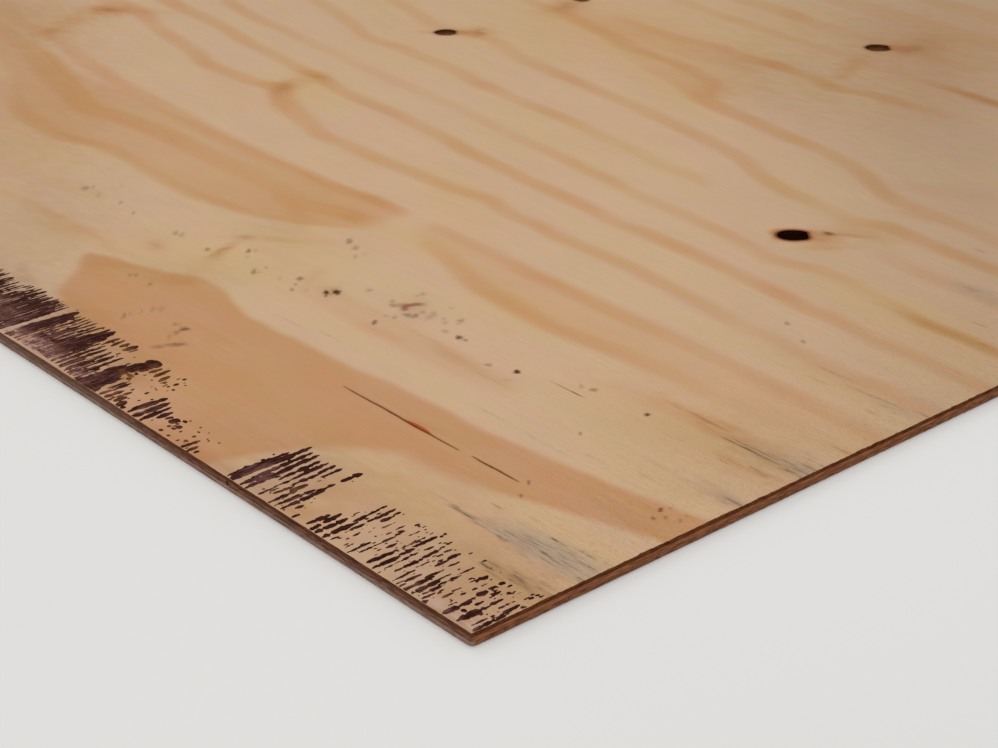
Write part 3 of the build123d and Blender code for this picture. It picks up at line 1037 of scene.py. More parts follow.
def nearest(distances):
    """The smallest of several arrays at each place."""
    return np.minimum.reduce(distances)


def face_veneer():
    """The top veneer, with its knotholes, splits and figure."""
    cells = surface_cells(face_cell_size)
    half = cells[:, 2] * smallest_cell / 2
    middle_along = length - cells[:, 0] * smallest_cell - half
    middle_across = cells[:, 1] * smallest_cell + half
    in_hole = nearest([hole_distance(knot, middle_along, middle_across) for knot in open_knots]) < 0
    corners, polygons = cell_polygons(cells[~in_hole])
    along, across = length - corners[:, 0], corners[:, 1]
    loops = border_loops(polygons)
    outlines = [None]
    for loop in loops[1:]:
        start = along[loop[0]], across[loop[0]]
        knot = min(open_knots, key=lambda one: math.dist((one.along, one.across), start))
        outline = partial(hole_distance, knot)
        in_along, in_across = into_wood(loop, along, across, outline)
        off = outline(along[loop], across[loop])
        along[loop] -= in_along * off
        across[loop] -= in_across * off
        outlines.append(outline)
    made, placed = veneer_mesh("face_veneer_sheet", (along, across), polygons, loops, face_height, -1,
                               outlines, seed=40)
    face_figure(made, placed)
    return made


# How far the fibres bend out round a knot, and how far from it they do
knot_bulge, bulge_long, bulge_wide = 7, 34, 22
# How far from the near end the weather has reached
weather_reach = 90


def face_figure(made, placed):
    """The figure of the face, as values at its points."""
    along, across = placed[:, 0], placed[:, 1]
    line = fibre_line(along, across)
    for knot in all_knots:
        over, up = along - knot.along, across - knot.across
        bulge = knot_bulge * np.exp(-(over / bulge_long) ** 2) * np.exp(-np.abs(up) / bulge_wide)
        line -= np.tanh(up / 5) * bulge
    add_attribute(made, "fibre", line)
    for name, smudges in (("brown", brown_smudges), ("orange", orange_smudges),
                          ("yellow", yellow_smudges), ("shade", shade_smudges)):
        add_attribute(made, name, smudged(smudges, along, across))
    tan = smudged(tan_smudges, along, across)
    add_attribute(made, "late", 1 - (1 - late_wood(along, across)) * (1 - tan))
    upper, shown = patch_depth(along, across)
    add_attribute(made, "patch", upper)
    add_attribute(made, "patch_shown", shown)
    add_attribute(made, "near_end", np.exp(-np.maximum(along, 0) / weather_reach))
    dark, red = dirt(along, across)
    add_attribute(made, "dirt", dark)
    add_attribute(made, "dirt_red", red)
    add_attribute(made, "opened", opened_grain(along, across))
    add_attribute(made, "stain", spotted(stains, along, across, starts=1.2, whole=0.2))
    add_attribute(made, "worn", spotted(worn_and_highlit_spots, along, across, starts=1.15, whole=0.5))
    add_attribute(made, "split", np.clip(split_distance(along, across), -2, 6))
    over, up = (along - resin_middle[0]) / resin_long * 2, (across - resin_middle[1]) / resin_wide * 2
    add_attribute(made, "resin", np.clip(1.2 - np.hypot(over, up), -1, 1))
    holes = nearest([hole_distance(knot, along, across) for knot in open_knots])
    add_attribute(made, "hole", np.clip(holes, -3, 30))
    knots = [sound_distance(knot, along, across) for knot in all_knots]
    add_attribute(made, "knot", np.clip(nearest(knots), -15, 30))
    closest = np.argmin(knots, axis=0)
    add_attribute(made, "knot_tone", np.array([knot.tone for knot in all_knots])[closest])
    add_attribute(made, "char", np.array([knot.char for knot in all_knots])[closest])


# Pale places between the brush marks, worn wood and partly painted highlight on the raised fibres beside
# the strokes: along, across, long, wide, strong
worn_and_highlit_spots = (
    (28, 6, 90, 18, 0.5), (30, 22, 110, 44, 0.2), (92, 24, 110, 64, 0.65), (205, 28, 60, 64, 0.5),
    (330, 12, 50, 34, 0.5), (362, 10, 40, 34, 0.6), (420, 20, 60, 56, 0.6), (480, 2, 330, 14, 0.9),
    (500, 24, 20, 80, 0.9), (35, 6, 16, 12, 1.3), (18, 6, 8, 10, 1.3), (5, 5, 9, 12, 1.3),
    (470, 30, 80, 60, 0.4), (560, 30, 120, 64, 0.5), (140, 24, 50, 60, 0.4),
)


# The core and the back

core_split_along = 227.0
core_split_wide = 2.5
core_split_deep = 30.0
# The points round the core lie a fine step apart up to these places and a coarse one past them
core_fine, core_coarse = 1.0, 5.0
core_fine_along, core_fine_across = 700, 500


def core_outline():
    """The points round the core, with its split at the near long edge."""
    mouth = core_split_wide / 2
    points = [(length, 0.0)]
    points += [(a, 0.0) for a in np.arange(length - core_coarse, core_fine_along, -core_coarse)]
    points += [(a, 0.0) for a in np.arange(core_fine_along, core_split_along + 2 * mouth, -core_fine)]
    for side, shares, seed in ((1, np.linspace(0, 1, 16), 61), (-1, np.linspace(0.95, 0, 15), 62)):
        for share in shares:
            sway = 0.5 * (noise(share * 6, seed=seed) - 0.5) * min(1, 8 * share)
            points.append((core_split_along + side * mouth * (1 - share) + sway, core_split_deep * share))
    points += [(a, 0.0) for a in np.arange(core_split_along - 2 * mouth, 0, -core_fine)]
    points += [(0.0, b) for b in np.arange(0, core_fine_across, core_fine)]
    points += [(0.0, b) for b in np.arange(core_fine_across, width, core_coarse)]
    points += [(a, width) for a in np.arange(0, length, core_coarse)]
    points += [(length, b) for b in np.arange(width, 0, -core_coarse)]
    return np.array(points, dtype=float).T


# The rows of points of the core's wall, from its upper face down
core_rows = (
    WallRow(0.0, 0.14, 0.16), WallRow(0.4, 0.0, 0.16), WallRow(veneer_thickness - 0.4, 0.0, 0.16),
    WallRow(veneer_thickness, 0.14, 0.16),
)


def core_veneer():
    """The middle veneer, seen at the edges and at the bottom of the knotholes."""
    along, across = core_outline()
    loop = np.arange(len(along))
    in_along, in_across = into_wood(loop, along, across, None)
    run = running_length(loop, along, across)
    rows, loops, faces = [], [], []
    for number, row in enumerate(core_rows):
        uneven = noise(run / 1.4, number * 5.1, seed=71) + noise(run / 8, number, seed=72)
        back = row.recess + row.rough * uneven
        rows.append(np.stack([along + in_along * back, across + in_across * back,
                              np.full(len(loop), core_high - row.depth)], 1))
        loops.append(loop + number * len(loop))
        if number > 0:
            faces += wall_faces(loops[-2], loops[-1])
    places = outer_places(in_along, in_across) * (len(core_rows) - 1)
    placed = np.concatenate(rows)
    for glued in (flat_triangles(loops[:1], placed, True), flat_triangles(loops[-1:], placed, False)):
        faces += glued
        places += [open_face] * len(glued)
    placed[:, 0], placed[:, 1] = knocked(placed[:, 0], placed[:, 1], placed[:, 2])
    return sheet_object("core_veneer_sheet", placed, faces, places)


def back_height(along, across):
    """The height of the back's open side, which is the sheet's underside."""
    waves = noise(along / 170, across / 50, seed=33)
    return back_low + face_waves * waves + rim_drop(along, across)


def back_veneer():
    """The bottom veneer."""
    corners, polygons = cell_polygons(surface_cells(back_cell_size))
    along, across = length - corners[:, 0], corners[:, 1]
    loops = border_loops(polygons)
    made, _ = veneer_mesh("back_veneer_sheet", (along, across), polygons, loops, back_height, 1,
                          [None], seed=80)
    return made


# The paint brushed over the near long edge

# A stroke runs across the grain from low to high and is widest in its middle.
# lean is how far its inner end lies further along.
Stroke = namedtuple("Stroke", "along low high wide lean", defaults=(0.0,))

strokes = rows_of(Stroke, (
    (227.4, 1, 47, 4.4), (223.0, -4, 62, 5.6, 1.5), (216.0, -3, 58.5, 4.2, 4.5),
    (210.4, -4, 59, 4.8, 5.0), (212.6, 4, 25, 4.4), (225.4, 2, 32, 6.0), (204.8, 21, 55, 4.2, 2.8),
    (199.8, 26, 57, 3.6, 2.6), (197.9, 14, 26, 2.8), (197.1, 2, 15, 2.5), (194.8, 44, 58, 4.0, 1.0),
    (193.2, 22, 48, 3.9, 0.8), (191.7, 9, 24, 3.6, -1.0), (195.2, 9, 16, 1.6), (189.4, 42, 59.5, 3.0),
    (187.5, 18, 31.5, 4.2), (185.2, -2, 22, 3.2, 1.0), (177.0, 48, 64.5, 4.8),
    (176.6, 25, 44, 4.2, 0.6), (179.4, 1, 31, 4.0), (174.6, 1, 35, 4.4, 1.0), (168.7, 7.5, 16, 3.0),
    (161.9, 0.5, 7, 2.4), (168.4, 19, 21.5, 1.6), (150.0, 2.5, 19.5, 5.2),
    (144.9, -2, 25.5, 5.0, 3.0), (139.2, -3, 26, 5.0, 0.6), (140.7, 30, 35, 2.4),
    (139.7, 26.5, 30, 1.7), (136.3, 42, 50.5, 2.8), (135.1, 24, 45, 4.4, 0.8),
    (132.4, 0, 27, 5.6, 0.6), (129.6, 29, 53, 3.4, 1.0), (129.2, 35, 46.5, 4.8),
    (128.2, 13, 32, 4.2, 1.0), (126.8, 2.5, 9, 2.4), (125.3, 46.5, 52.5, 2.3),
    (124.2, 36.5, 47.5, 4.4), (121.7, 9, 20.5, 2.4, 1.2), (117.9, 31, 43, 1.8), (111.3, 37, 46, 2.0),
    (107.6, 48, 52.5, 3.0), (106.6, 30, 41, 3.0, 1.0), (105.4, 23, 33, 3.2), (105.0, 15, 26, 3.0),
    (109.9, 8, 18.5, 2.6), (109.4, 0.5, 11.5, 2.2), (104.8, 6, 16, 2.2), (101.2, 37, 47, 1.6),
    (99.2, 20.5, 28.5, 3.0), (94.2, 40.5, 51.5, 3.0, 1.0), (93.0, 18, 42, 2.4), (93.0, 2, 22, 4.8),
    (88.4, 51, 57, 3.6, 1.0), (89.7, 33, 51.5, 4.4, 0.6), (88.0, 21, 33, 4.4), (86.6, 1, 21.5, 5.2),
    (82.8, 34.5, 43, 2.6), (82.7, 6, 34, 2.6, 1.0), (80.6, 0.5, 6, 2.0), (79.8, 48.5, 53.5, 2.8),
    (83.2, 43, 48, 1.9), (78.8, 43, 47.5, 2.2), (77.4, 34, 45, 3.8), (77.2, 29, 36, 3.2),
    (76.2, 17, 29, 4.6), (75.8, 8, 17.5, 3.2), (73.5, 42, 50, 2.0), (72.8, 33, 42.5, 1.9),
    (71.6, 19, 30, 1.9), (69.9, 9, 20, 2.4), (68.9, 1, 13, 2.4), (66.8, 38, 49, 4.0),
    (65.6, 28, 39, 3.0), (63.8, 5.5, 18.5, 4.4), (64.9, 0.5, 7, 1.8), (61.8, 0.5, 5.5, 1.8),
    (60.5, 33, 42.5, 2.1), (59.5, 16, 31.5, 3.0), (57.8, -4, 22.5, 5.2), (53.7, 17, 31, 2.4),
    (52.0, -4, 22, 5.8, 1.0), (50.1, 32, 45, 2.1), (48.7, 17, 35, 2.8), (47.6, 5, 21, 4.2),
    (43.6, 13.5, 17.5, 2.0), (39.0, 35.5, 45, 4.2), (40.0, 32, 37, 2.0), (39.0, 19, 26, 4.2),
    (37.7, 11, 19.5, 3.6), (41.0, -5, 4, 4.4), (44.0, 2, 12, 3.2), (32.6, 34.5, 39.5, 1.8),
    (32.6, 28, 32, 1.9), (33.0, 20.5, 24.5, 2.0), (29.5, 8, 14.5, 1.7), (27.9, 43, 47.5, 3.6),
    (27.6, 35.5, 41.5, 2.8), (26.7, 26, 34.5, 5.6), (26.0, 20, 26, 2.4), (25.0, -2, 24, 4.8),
    (21.7, 32.5, 40.5, 3.0), (20.6, 30, 34, 1.8), (20.0, 19.5, 26, 2.6), (20.0, 9.8, 13.2, 4.4),
    (17.6, 39.2, 43, 3.8), (15.2, 25.5, 35.5, 3.4), (14.4, 19.5, 26, 2.4), (14.5, 2, 23, 6.4),
    (9.4, 32, 39, 3.0), (9.1, 26.5, 32, 2.8), (5.6, 44.5, 49.5, 2.4), (4.4, 22, 38.5, 3.8, 1.5),
    (2.0, 2, 28, 4.6, 1.0), (6.2, 5, 17, 1.8), (339.0, 1, 31.5, 5.2), (340.8, 5, 22, 3.2),
    (331.6, -3, 29.5, 5.6, 0.8), (325.0, -1, 26.5, 4.2, 1.5), (319.4, 10, 23, 4.4, 0.8),
    (314.2, 13.5, 19.5, 2.8), (308.8, 12.5, 20.5, 5.8), (305.0, 8.5, 12, 2.2),
    (303.5, 19.8, 22.8, 3.4), (299.6, 12.2, 16.4, 4.4), (300.5, 9.2, 12, 3.0), (304.0, 2.2, 5.2, 3.4),
    (295.0, 1.8, 4.2, 2.4), (283.0, 12.8, 15.8, 3.6), (281.5, 5.6, 8.8, 3.2), (276.4, -1, 14.5, 3.4),
    (270.2, -1, 9.5, 2.8), (265.3, 2, 6, 2.0), (387.3, 36, 57, 14.0), (391.5, 20, 48, 12.0),
    (395.5, -16, 38, 13.0), (389.5, -22, 27, 25.0), (377.5, 41.5, 52.5, 3.4),
    (371.2, 40, 55, 3.6, 1.5), (363.6, 39.5, 50, 3.6, 1.5), (358.8, 40, 44, 2.6),
    (354.3, 52.6, 55.8, 3.4), (351.8, 43.6, 48, 3.0), (352.4, 39.2, 42.2, 2.6),
    (346.4, 39, 41.4, 2.4), (383.0, 29, 32.6, 8.0), (379.6, 25.6, 29.4, 4.4), (381.4, 33, 36.4, 3.6),
    (375.9, 9, 27, 2.8), (372.6, 0.5, 25, 4.2), (366.2, 1, 16, 4.0), (361.4, 6.5, 19, 3.0),
    (361.6, 0.5, 6.5, 2.8), (357.4, 2.5, 12.5, 4.0), (351.4, -2, 9, 5.4, 1.5), (346.6, 0.4, 4.4, 3.6),
    (437.0, 0, 42.5, 4.2, 2.0), (432.2, 2, 43, 4.0, 1.5), (427.0, 2, 41, 3.6, 1.0),
    (424.0, 0, 23, 3.0), (420.4, 3, 41, 4.0, 1.0), (417.6, 1, 25, 2.4), (414.2, 0, 39, 4.8, 2.0),
    (410.8, 0, 16, 2.6), (407.8, 2, 42, 4.2, 1.0), (404.0, 1, 21, 2.6), (436.2, 41, 57, 3.6),
    (430.6, 45, 57.5, 3.4, 1.0), (424.4, 48.5, 57.5, 3.4), (418.0, 47, 59.5, 4.6),
    (413.4, 49, 56, 2.0), (447.5, 12, 60, 10.0), (453.5, 10, 59, 8.0), (442.5, 6, 50, 6.0),
    (450.0, -10, 34, 15.0), (491.6, -10, 58, 11.6), (488.4, 14, 52, 8.0), (576.0, 36, 54, 4.2),
))

# Strokes side by side: from start to end along the edge, pitch apart
Hatch = namedtuple("Hatch", "start end pitch wide low high uneven")

hatches = rows_of(Hatch, (
    (504, 556, 3.4, 3.9, -6, 57, 3.0), (506, 550, 4.7, 3.6, 8, 53, 6.0),
    (508, 546, 6.1, 3.6, 24, 59, 3.0), (505, 556, 5.3, 3.4, -14, 30, 4.0),
    (556, 600, 3.5, 3.6, -6, 54, 4.0), (598, 640, 3.8, 3.2, -6, 50, 8.0),
    (640, 700, 4.6, 2.6, -4, 34, 9.0), (441, 487, 3.9, 3.5, -2, 46, 3.0),
    (443, 485, 5.2, 2.8, -14, 22, 5.0), (459, 487, 4.3, 2.8, 38, 56, 3.0),
    (445, 480, 6.4, 3.4, 18, 44, 5.0),
))

# Drops beside the strokes: from, to, how far in they reach and how many
drop_runs = (
    (0, 140, 52, 170), (160, 232, 58, 26), (262, 345, 24, 22), (345, 400, 56, 44), (400, 500, 58, 40),
    (500, 640, 52, 30),
)

# How wide a rim of bare wood the paint leaves at the long edge
bare_rim = ((0, 0.5), (405, 0.5), (425, 2.4), (455, 3.2), (490, 2.0), (505, 0.6), (540, 1.8))

# How far in from the long edge and from the near end the paint lies, and the steps of its grid
paint_depth = 66.0
paint_end = 706.0
paint_step = (0.4, 0.45)
# How blunt the ends of a stroke are
bluntness = 2.4
# How much wider the strokes are drawn at each distance from the near end
stroke_growth = (
    (0, 0.95), (30, 0.95), (40, 0.82), (125, 0.82), (150, 0.95), (165, 1.05), (190, 1.08), (215, 1.16),
)


def all_strokes(random):
    """The strokes of the list with those of the hatches."""
    made = list(strokes)
    for hatch in hatches:
        for place in np.arange(hatch.start, hatch.end, hatch.pitch):
            shift, low_shift, high_shift, lean = random.uniform(-1, 1, 4)
            wide = hatch.wide * random.uniform(0.75, 1.2)
            made.append(Stroke(place + 0.5 * shift, hatch.low + hatch.uneven * low_shift,
                               hatch.high + hatch.uneven * high_shift, wide, 1.5 * lean))
    return made


def all_drops(random):
    """The drops beside the strokes."""
    made = []
    for start, end, reach, number in drop_runs:
        for _ in range(number):
            size = random.uniform(0.7, 1.9)
            place, low = random.uniform(start, end), reach * random.uniform(0.02, 1.0)
            made.append(Stroke(place, low, low + size * random.uniform(0.8, 2.6), size))
    return made


def mark_cover(number, mark, a, b):
    """Positive inside a stroke or drop, with its ragged sides and the breaks along it."""
    share = (b - mark.low) / (mark.high - mark.low)
    bow = np.sqrt(np.clip(1 - np.abs(2 * share - 1) ** bluntness, 0, 1))
    wide = mark.wide * np.interp(mark.along, *np.array(stroke_growth).T)
    sway = 0.7 * (noise(b / 14, number, seed=52) - 0.5)
    half = wide / 2 * bow * (0.60 + 0.55 * noise(b / 4, number * 3.7, seed=53))
    from_middle = np.abs(a - mark.along - mark.lean * (share - 0.5) - sway)
    breaks = smooth(noise(b / 3.2, number * 5.1, seed=57), 0.60, 0.85)
    half = half * (1 - 0.75 * breaks * smooth(-mark.along, -260, -150))
    past_end = np.maximum(mark.low - b, b - mark.high)
    return half - from_middle - np.maximum(past_end, 0)


def paint_cover(along, across):
    """Positive where the paint covers the face, on a grid of places."""
    random = np.random.default_rng(17)
    marks = all_strokes(random)
    marks += all_drops(random)
    cover = np.full(along.shape, -9.0)
    columns = along[0]
    for number, mark in enumerate(marks):
        spread = mark.wide / 2 + abs(mark.lean) + 3
        near = slice(*np.searchsorted(columns, (mark.along - spread, mark.along + spread)))
        here = mark_cover(number, mark, along[:, near], across[:, near])
        cover[:, near] = np.maximum(cover[:, near], here)
    ragged = noise(along / 2.2, across / 2.0, seed=54) - 0.5
    fine = noise(along / 1.1, across / 1.0, seed=55) - 0.5
    gaps = smooth(noise(along / 1.1, across / 12, seed=56), 0.78, 0.95)
    cover = cover + 0.8 * ragged + 0.5 * fine - 2.6 * gaps * smooth(along, 360, 376)
    rim = np.interp(along, *np.array(bare_rim).T) * (0.6 + 0.8 * noise(along / 5, seed=59))
    in_reach = np.minimum(across - rim, along - 0.5)
    in_reach = np.minimum(in_reach, np.minimum(paint_depth - across, paint_end - along))
    return np.minimum(cover, in_reach * 2)


# For each pattern of a cell's corners, the sides on which the line comes in and goes out. Corners
# are 1, 2, 4, 8 for low left, low right, high right, high left; sides 0 to 3 go round from the
# low one.
crossings = {
    1: ((0, 3),), 2: ((1, 0),), 3: ((1, 3),), 4: ((2, 1),), 5: ((0, 3), (2, 1)), 6: ((2, 0),),
    7: ((2, 3),), 8: ((3, 2),), 9: ((0, 2),), 10: ((1, 0), (3, 2)), 11: ((1, 2),), 12: ((3, 1),),
    13: ((0, 1),), 14: ((3, 0),),
}


def contours(field):
    """Closed rows of points round the positive parts of a grid, as row and column numbers.

    The positive part lies on the left of each row of points, columns to the right and rows up.
    """
    inside_here = field > 0
    following = {}
    pattern = (inside_here[:-1, :-1] * 1 + inside_here[:-1, 1:] * 2 + inside_here[1:, 1:] * 4
               + inside_here[1:, :-1] * 8)
    for row, column in zip(*np.nonzero((pattern > 0) & (pattern < 15))):
        sides = ((row, column, 0), (row, column + 1, 1), (row + 1, column, 0), (row, column, 1))
        for entry, leave in crossings[pattern[row, column]]:
            following[sides[entry]] = sides[leave]
    loops = []
    while following:
        start, here = following.popitem()
        loop = [start]
        while here != start:
            loop.append(here)
            here = following.pop(here)
        loops.append([crossing_point(field, *side) for side in loop])
    return loops


def loop_area(x, y):
    """The area inside a closed row of points, positive where it runs anticlockwise."""
    return float((x * np.roll(y, -1) - np.roll(x, -1) * y).sum()) / 2


def within(x, y, loop_x, loop_y):
    """True if a place lies inside a closed row of points."""
    next_x, next_y = np.roll(loop_x, -1), np.roll(loop_y, -1)
    spans = (loop_y > y) != (next_y > y)
    rise = np.where(spans, next_y - loop_y, 1.0)
    return bool((spans & (x < loop_x + (y - loop_y) * (next_x - loop_x) / rise)).sum() % 2)


def shapes_with_holes(numbered, x, y):
    """Groups of closed rows of points: each outer one with the holes that lie in it."""
    outer, holes = [], []
    for numbers in numbered:
        (outer if loop_area(x[numbers], y[numbers]) > 0 else holes).append(numbers)
    outer.sort(key=lambda numbers: loop_area(x[numbers], y[numbers]))
    groups = [[numbers] for numbers in outer]
    for numbers in holes:
        first = numbers[0]
        for group in groups:
            if within(x[first], y[first], x[group[0]], y[group[0]]):
                group.append(numbers)
                break
    return groups


def crossing_point(field, row, column, upward):
    """Where the field is zero on the side that starts at a grid point."""
    value = field[row, column]
    other = field[row + upward, column + 1 - upward]
    share = min(max(value / (value - other), 0.04), 0.96)
    return column + share * (1 - upward), row + share * upward


# The thickness of the paint film, and how far it sinks into the pores
film_thickness = 0.05
film_sunk = 0.04
# A mark with fewer points round it is left out
least_points = 7


def film_faces(numbered, along, across):
    """The faces of the film: its sides, then the top and the bottom of each shape."""
    size = len(along)
    faces = []
    for numbers in numbered:
        for here, there in zip(numbers, np.roll(numbers, -1)):
            faces.append([here, there, there + size, here + size])
    for group in shapes_with_holes(numbered, along, across):
        flat = [[Vector((along[i], across[i], 0)) for i in numbers] for numbers in group]
        joined = np.concatenate(group)
        for triangle in tessellate_polygon(flat):
            a, b, c = (joined[i] for i in triangle)
            turn = winding(along, across, a, b, c)
            if abs(turn) < least_area:
                continue
            if turn > 0:
                b, c = c, b
            faces.append([a, b, c])
            faces.append([a + size, c + size, b + size])
    return faces


def edge_paint():
    """The dark paint, as a thin film with a closed shape for each mark."""
    columns = np.arange(-2.0, paint_end + 2, paint_step[0])
    rows = np.arange(-1.0, paint_depth + 2, paint_step[1])
    field = paint_cover(*np.meshgrid(columns, rows))
    loops = [loop for loop in contours(field) if len(loop) >= least_points]
    along = np.array([columns[0] + x * paint_step[0] for loop in loops for x, _ in loop])
    across = np.array([rows[0] + y * paint_step[1] for loop in loops for _, y in loop])
    loop_ends = np.cumsum([len(loop) for loop in loops])
    faces = film_faces(np.split(np.arange(len(along)), loop_ends[:-1]), along, across)
    level = face_height(along, across)
    lift = film_thickness * (0.6 + 0.4 * noise(along / 3, across / 3, seed=58))
    top = np.minimum(level + lift, face_high)
    placed = np.concatenate([np.stack([along, across, top], 1),
                             np.stack([along, across, level - film_sunk], 1)])
    made = sheet_object("edge_paint", placed, faces, [0] * len(faces))
    for name, spots in (("mauve", mauve_spots), ("tips", brown_spots)):
        add_attribute(made, name, spotted(spots, placed[:, 0], placed[:, 1], starts=1.3, whole=0.3))
    return made


# Where the paint lies thin: along, across, long, wide, strong. Mauve where the wood's own white
# shows through, brown at the tips of the strokes.
mauve_spots = (
    (20, 3, 70, 12, 0.55), (56, 5, 40, 20, 0.45), (465, 8, 110, 30, 0.85), (545, 18, 110, 44, 0.55),
    (392, 8, 34, 44, 0.5), (470, 30, 60, 40, 0.4), (222, 18, 22, 40, 0.5), (206, 12, 22, 30, 0.55),
    (178, 14, 16, 30, 0.4), (335, 12, 20, 26, 0.45), (510, 48, 40, 24, 0.3), (415, 6, 50, 20, 0.6),
    (8, 20, 30, 30, 0.2),
)
brown_spots = (
    (470, 52, 46, 22, 0.45), (428, 30, 50, 80, 0.3), (425, 52, 40, 18, 0.5), (512, 38, 22, 50, 0.2),
    (576, 44, 16, 40, 0.3), (368, 46, 50, 28, 0.6), (366, 8, 40, 30, 0.6), (382, 30, 20, 12, 0.8),
    (290, 10, 60, 30, 0.5), (93, 30, 8, 30, 0.5), (74, 46, 20, 12, 0.5), (118, 38, 10, 16, 0.6),
    (192, 12, 14, 30, 0.5), (187, 24, 10, 18, 0.6), (38, 14, 12, 12, 0.5), (560, 50, 60, 18, 0.2),
)


# Materials

def linear(red, green, blue):
    """A colour seen on a screen, from 0 to 255, as the light that makes it."""
    shares = np.array([red, green, blue]) / 255
    light = np.where(shares <= 0.04045, shares / 12.92, ((shares + 0.055) / 1.055) ** 2.4)
    return (*(float(value) for value in light), 1.0)


class Graph:
    """A material and short ways to add its nodes. A value is a socket, a number or a colour."""

    def __init__(self, name):
        self.material = bpy.data.materials.new(name)
        self.material.use_nodes = True
        self.tree = self.material.node_tree
        self.tree.nodes.clear()
        self.shader = self.tree.nodes.new("ShaderNodeBsdfPrincipled")
        output = self.tree.nodes.new("ShaderNodeOutputMaterial")
        self.tree.links.new(self.shader.outputs[0], output.inputs[0])

    def feed(self, socket, value):
        if isinstance(value, bpy.types.NodeSocket):
            self.tree.links.new(value, socket)
        else:
            socket.default_value = value

    def node(self, kind, *values, **settings):
        node = self.tree.nodes.new("ShaderNode" + kind)
        for setting, value in settings.items():
            setattr(node, setting, value)
        for socket, value in zip(node.inputs, values):
            if value is not None:
                self.feed(socket, value)
        return node

    def math(self, operation, *values):
        return self.node("Math", *values, operation=operation).outputs[0]

    def times(self, first, second):
        return self.math("MULTIPLY", first, second)

    def scaled(self, value, factor, base):
        """The base with the value times the factor added to it."""
        return self.math("MULTIPLY_ADD", value, factor, base)

    def value(self, name):
        return self.node("Attribute", attribute_name=name).outputs["Fac"]

    def place(self):
        """The place in the frame in millimetres, as three sockets."""
        spot = self.node("TexCoord").outputs["Object"]
        scaled = self.node("VectorMath", spot, (1000.0, 1000.0, 1000.0), operation="MULTIPLY")
        return self.node("SeparateXYZ", scaled.outputs[0]).outputs[:3]

    def noise(self, x, y, z, sizes, detail=2.0, rough=0.5):
        """Noise from 0 to 1 with features of the given sizes along x, y and z."""
        parts = [self.math("DIVIDE", value, size) for value, size in zip((x, y, z), sizes)]
        spot = self.node("CombineXYZ", *parts).outputs[0]
        made = self.node("TexNoise")
        self.feed(made.inputs["Vector"], spot)
        made.inputs["Scale"].default_value = 1.0
        made.inputs["Detail"].default_value = detail
        made.inputs["Roughness"].default_value = rough
        return made.outputs[0]

    def ramp(self, value, start, end, low=0.0, high=1.0):
        """A smooth change from low to high as the value goes from start to end."""
        node = self.node("MapRange", value, start, end, low, high, interpolation_type="SMOOTHSTEP")
        return node.outputs[0]

    def centred(self, value):
        """A value from 0 to 1 as one from -0.5 to 0.5."""
        return self.math("SUBTRACT", value, 0.5)

    def weathered(self, near_end, everywhere, more):
        """A strength that grows towards the near end."""
        return self.scaled(near_end, more, everywhere)

    def mix(self, share, first, second, blend="MIX"):
        node = self.node("Mix", data_type="RGBA", blend_type=blend)
        self.feed(node.inputs[0], share)
        self.feed(node.inputs[6], first)
        self.feed(node.inputs[7], second)
        return node.outputs[2]

    def brighten(self, colour, value):
        """The colour made lighter or darker by a factor."""
        grey = self.node("CombineXYZ", value, value, value).outputs[0]
        return self.mix(1.0, colour, grey, "MULTIPLY")

    def finish(self, colour, rough, height=None, relief=0.1, **constants):
        """Feeds the shader. relief is the height of the bumps in millimetres."""
        self.feed(self.shader.inputs["Base Color"], colour)
        self.feed(self.shader.inputs["Roughness"], rough)
        for name, value in constants.items():
            self.shader.inputs[name.replace("_", " ")].default_value = value
        if height is not None:
            bump = self.node("Bump")
            bump.inputs["Distance"].default_value = relief * mm
            self.feed(bump.inputs["Height"], height)
            self.feed(self.shader.inputs["Normal"], bump.outputs[0])
        return self.material


# The colours of the face
pale_wood = linear(205, 172, 140)
late_tan = linear(195, 143, 94)
patch_tan = linear(193, 143, 101)
deep_orange = linear(184, 120, 66)
dark_brown = linear(112, 74, 46)
cream_wood = linear(214, 187, 156)
brown_streak = linear(140, 96, 58)
worn_and_highlit_wood = linear(195, 161, 144)
stain_grey = linear(156, 144, 127)
stain_brown = linear(108, 84, 62)
dark_soil = linear(76, 44, 8)
red_soil = linear(122, 50, 14)
opened_brown = linear(90, 62, 40)
split_lip = linear(156, 96, 54)
split_deep = linear(136, 80, 42)
resin_red = linear(166, 76, 36)
# The colours of the knots and of the wood round the holes, and of the long edges near the paint
halo_tan = linear(190, 138, 90)
light_rings = linear(192, 142, 96), linear(178, 122, 76)
dark_rings = linear(150, 96, 58), linear(112, 66, 38)
rim_orange = linear(172, 104, 56)
lip_brown = linear(78, 38, 16)
edge_grey = linear(150, 128, 112)
# The colours of the knotholes' walls and of the glued faces. The near-black ones are partly painted shade
# inside the holes.
plain_walls = linear(92, 56, 30), linear(140, 92, 54)
bark_walls = linear(30, 12, 5), linear(84, 38, 16)
red_bark = linear(104, 40, 16)
glue_browns = linear(96, 60, 36), linear(136, 94, 62)
glue_crust = linear(70, 38, 22)
glue_and_shade_black = linear(26, 9, 3)
# The colours of the underside, the paint and the floor
back_woods = linear(196, 170, 138), linear(176, 134, 94)
paint_maroons = linear(42, 15, 8), linear(70, 31, 24)
tip_brown = linear(134, 84, 48)
thin_mauve = linear(122, 82, 76)
hair_mauve = linear(116, 78, 70)
rubbed_pale = linear(190, 154, 138)
floor_greys = linear(226, 225, 222), linear(232, 231, 229)
# Tints that the wood's colour is multiplied by
yellowed = (1.0, 0.97, 0.80, 1.0)
pinker = (1.0, 0.975, 0.985, 1.0)
greener = (0.985, 1.0, 0.93, 1.0)

# The places and the noises that the face's colours share
Grain = namedtuple("Grain", "x y line near_end broad streak fine cloud")


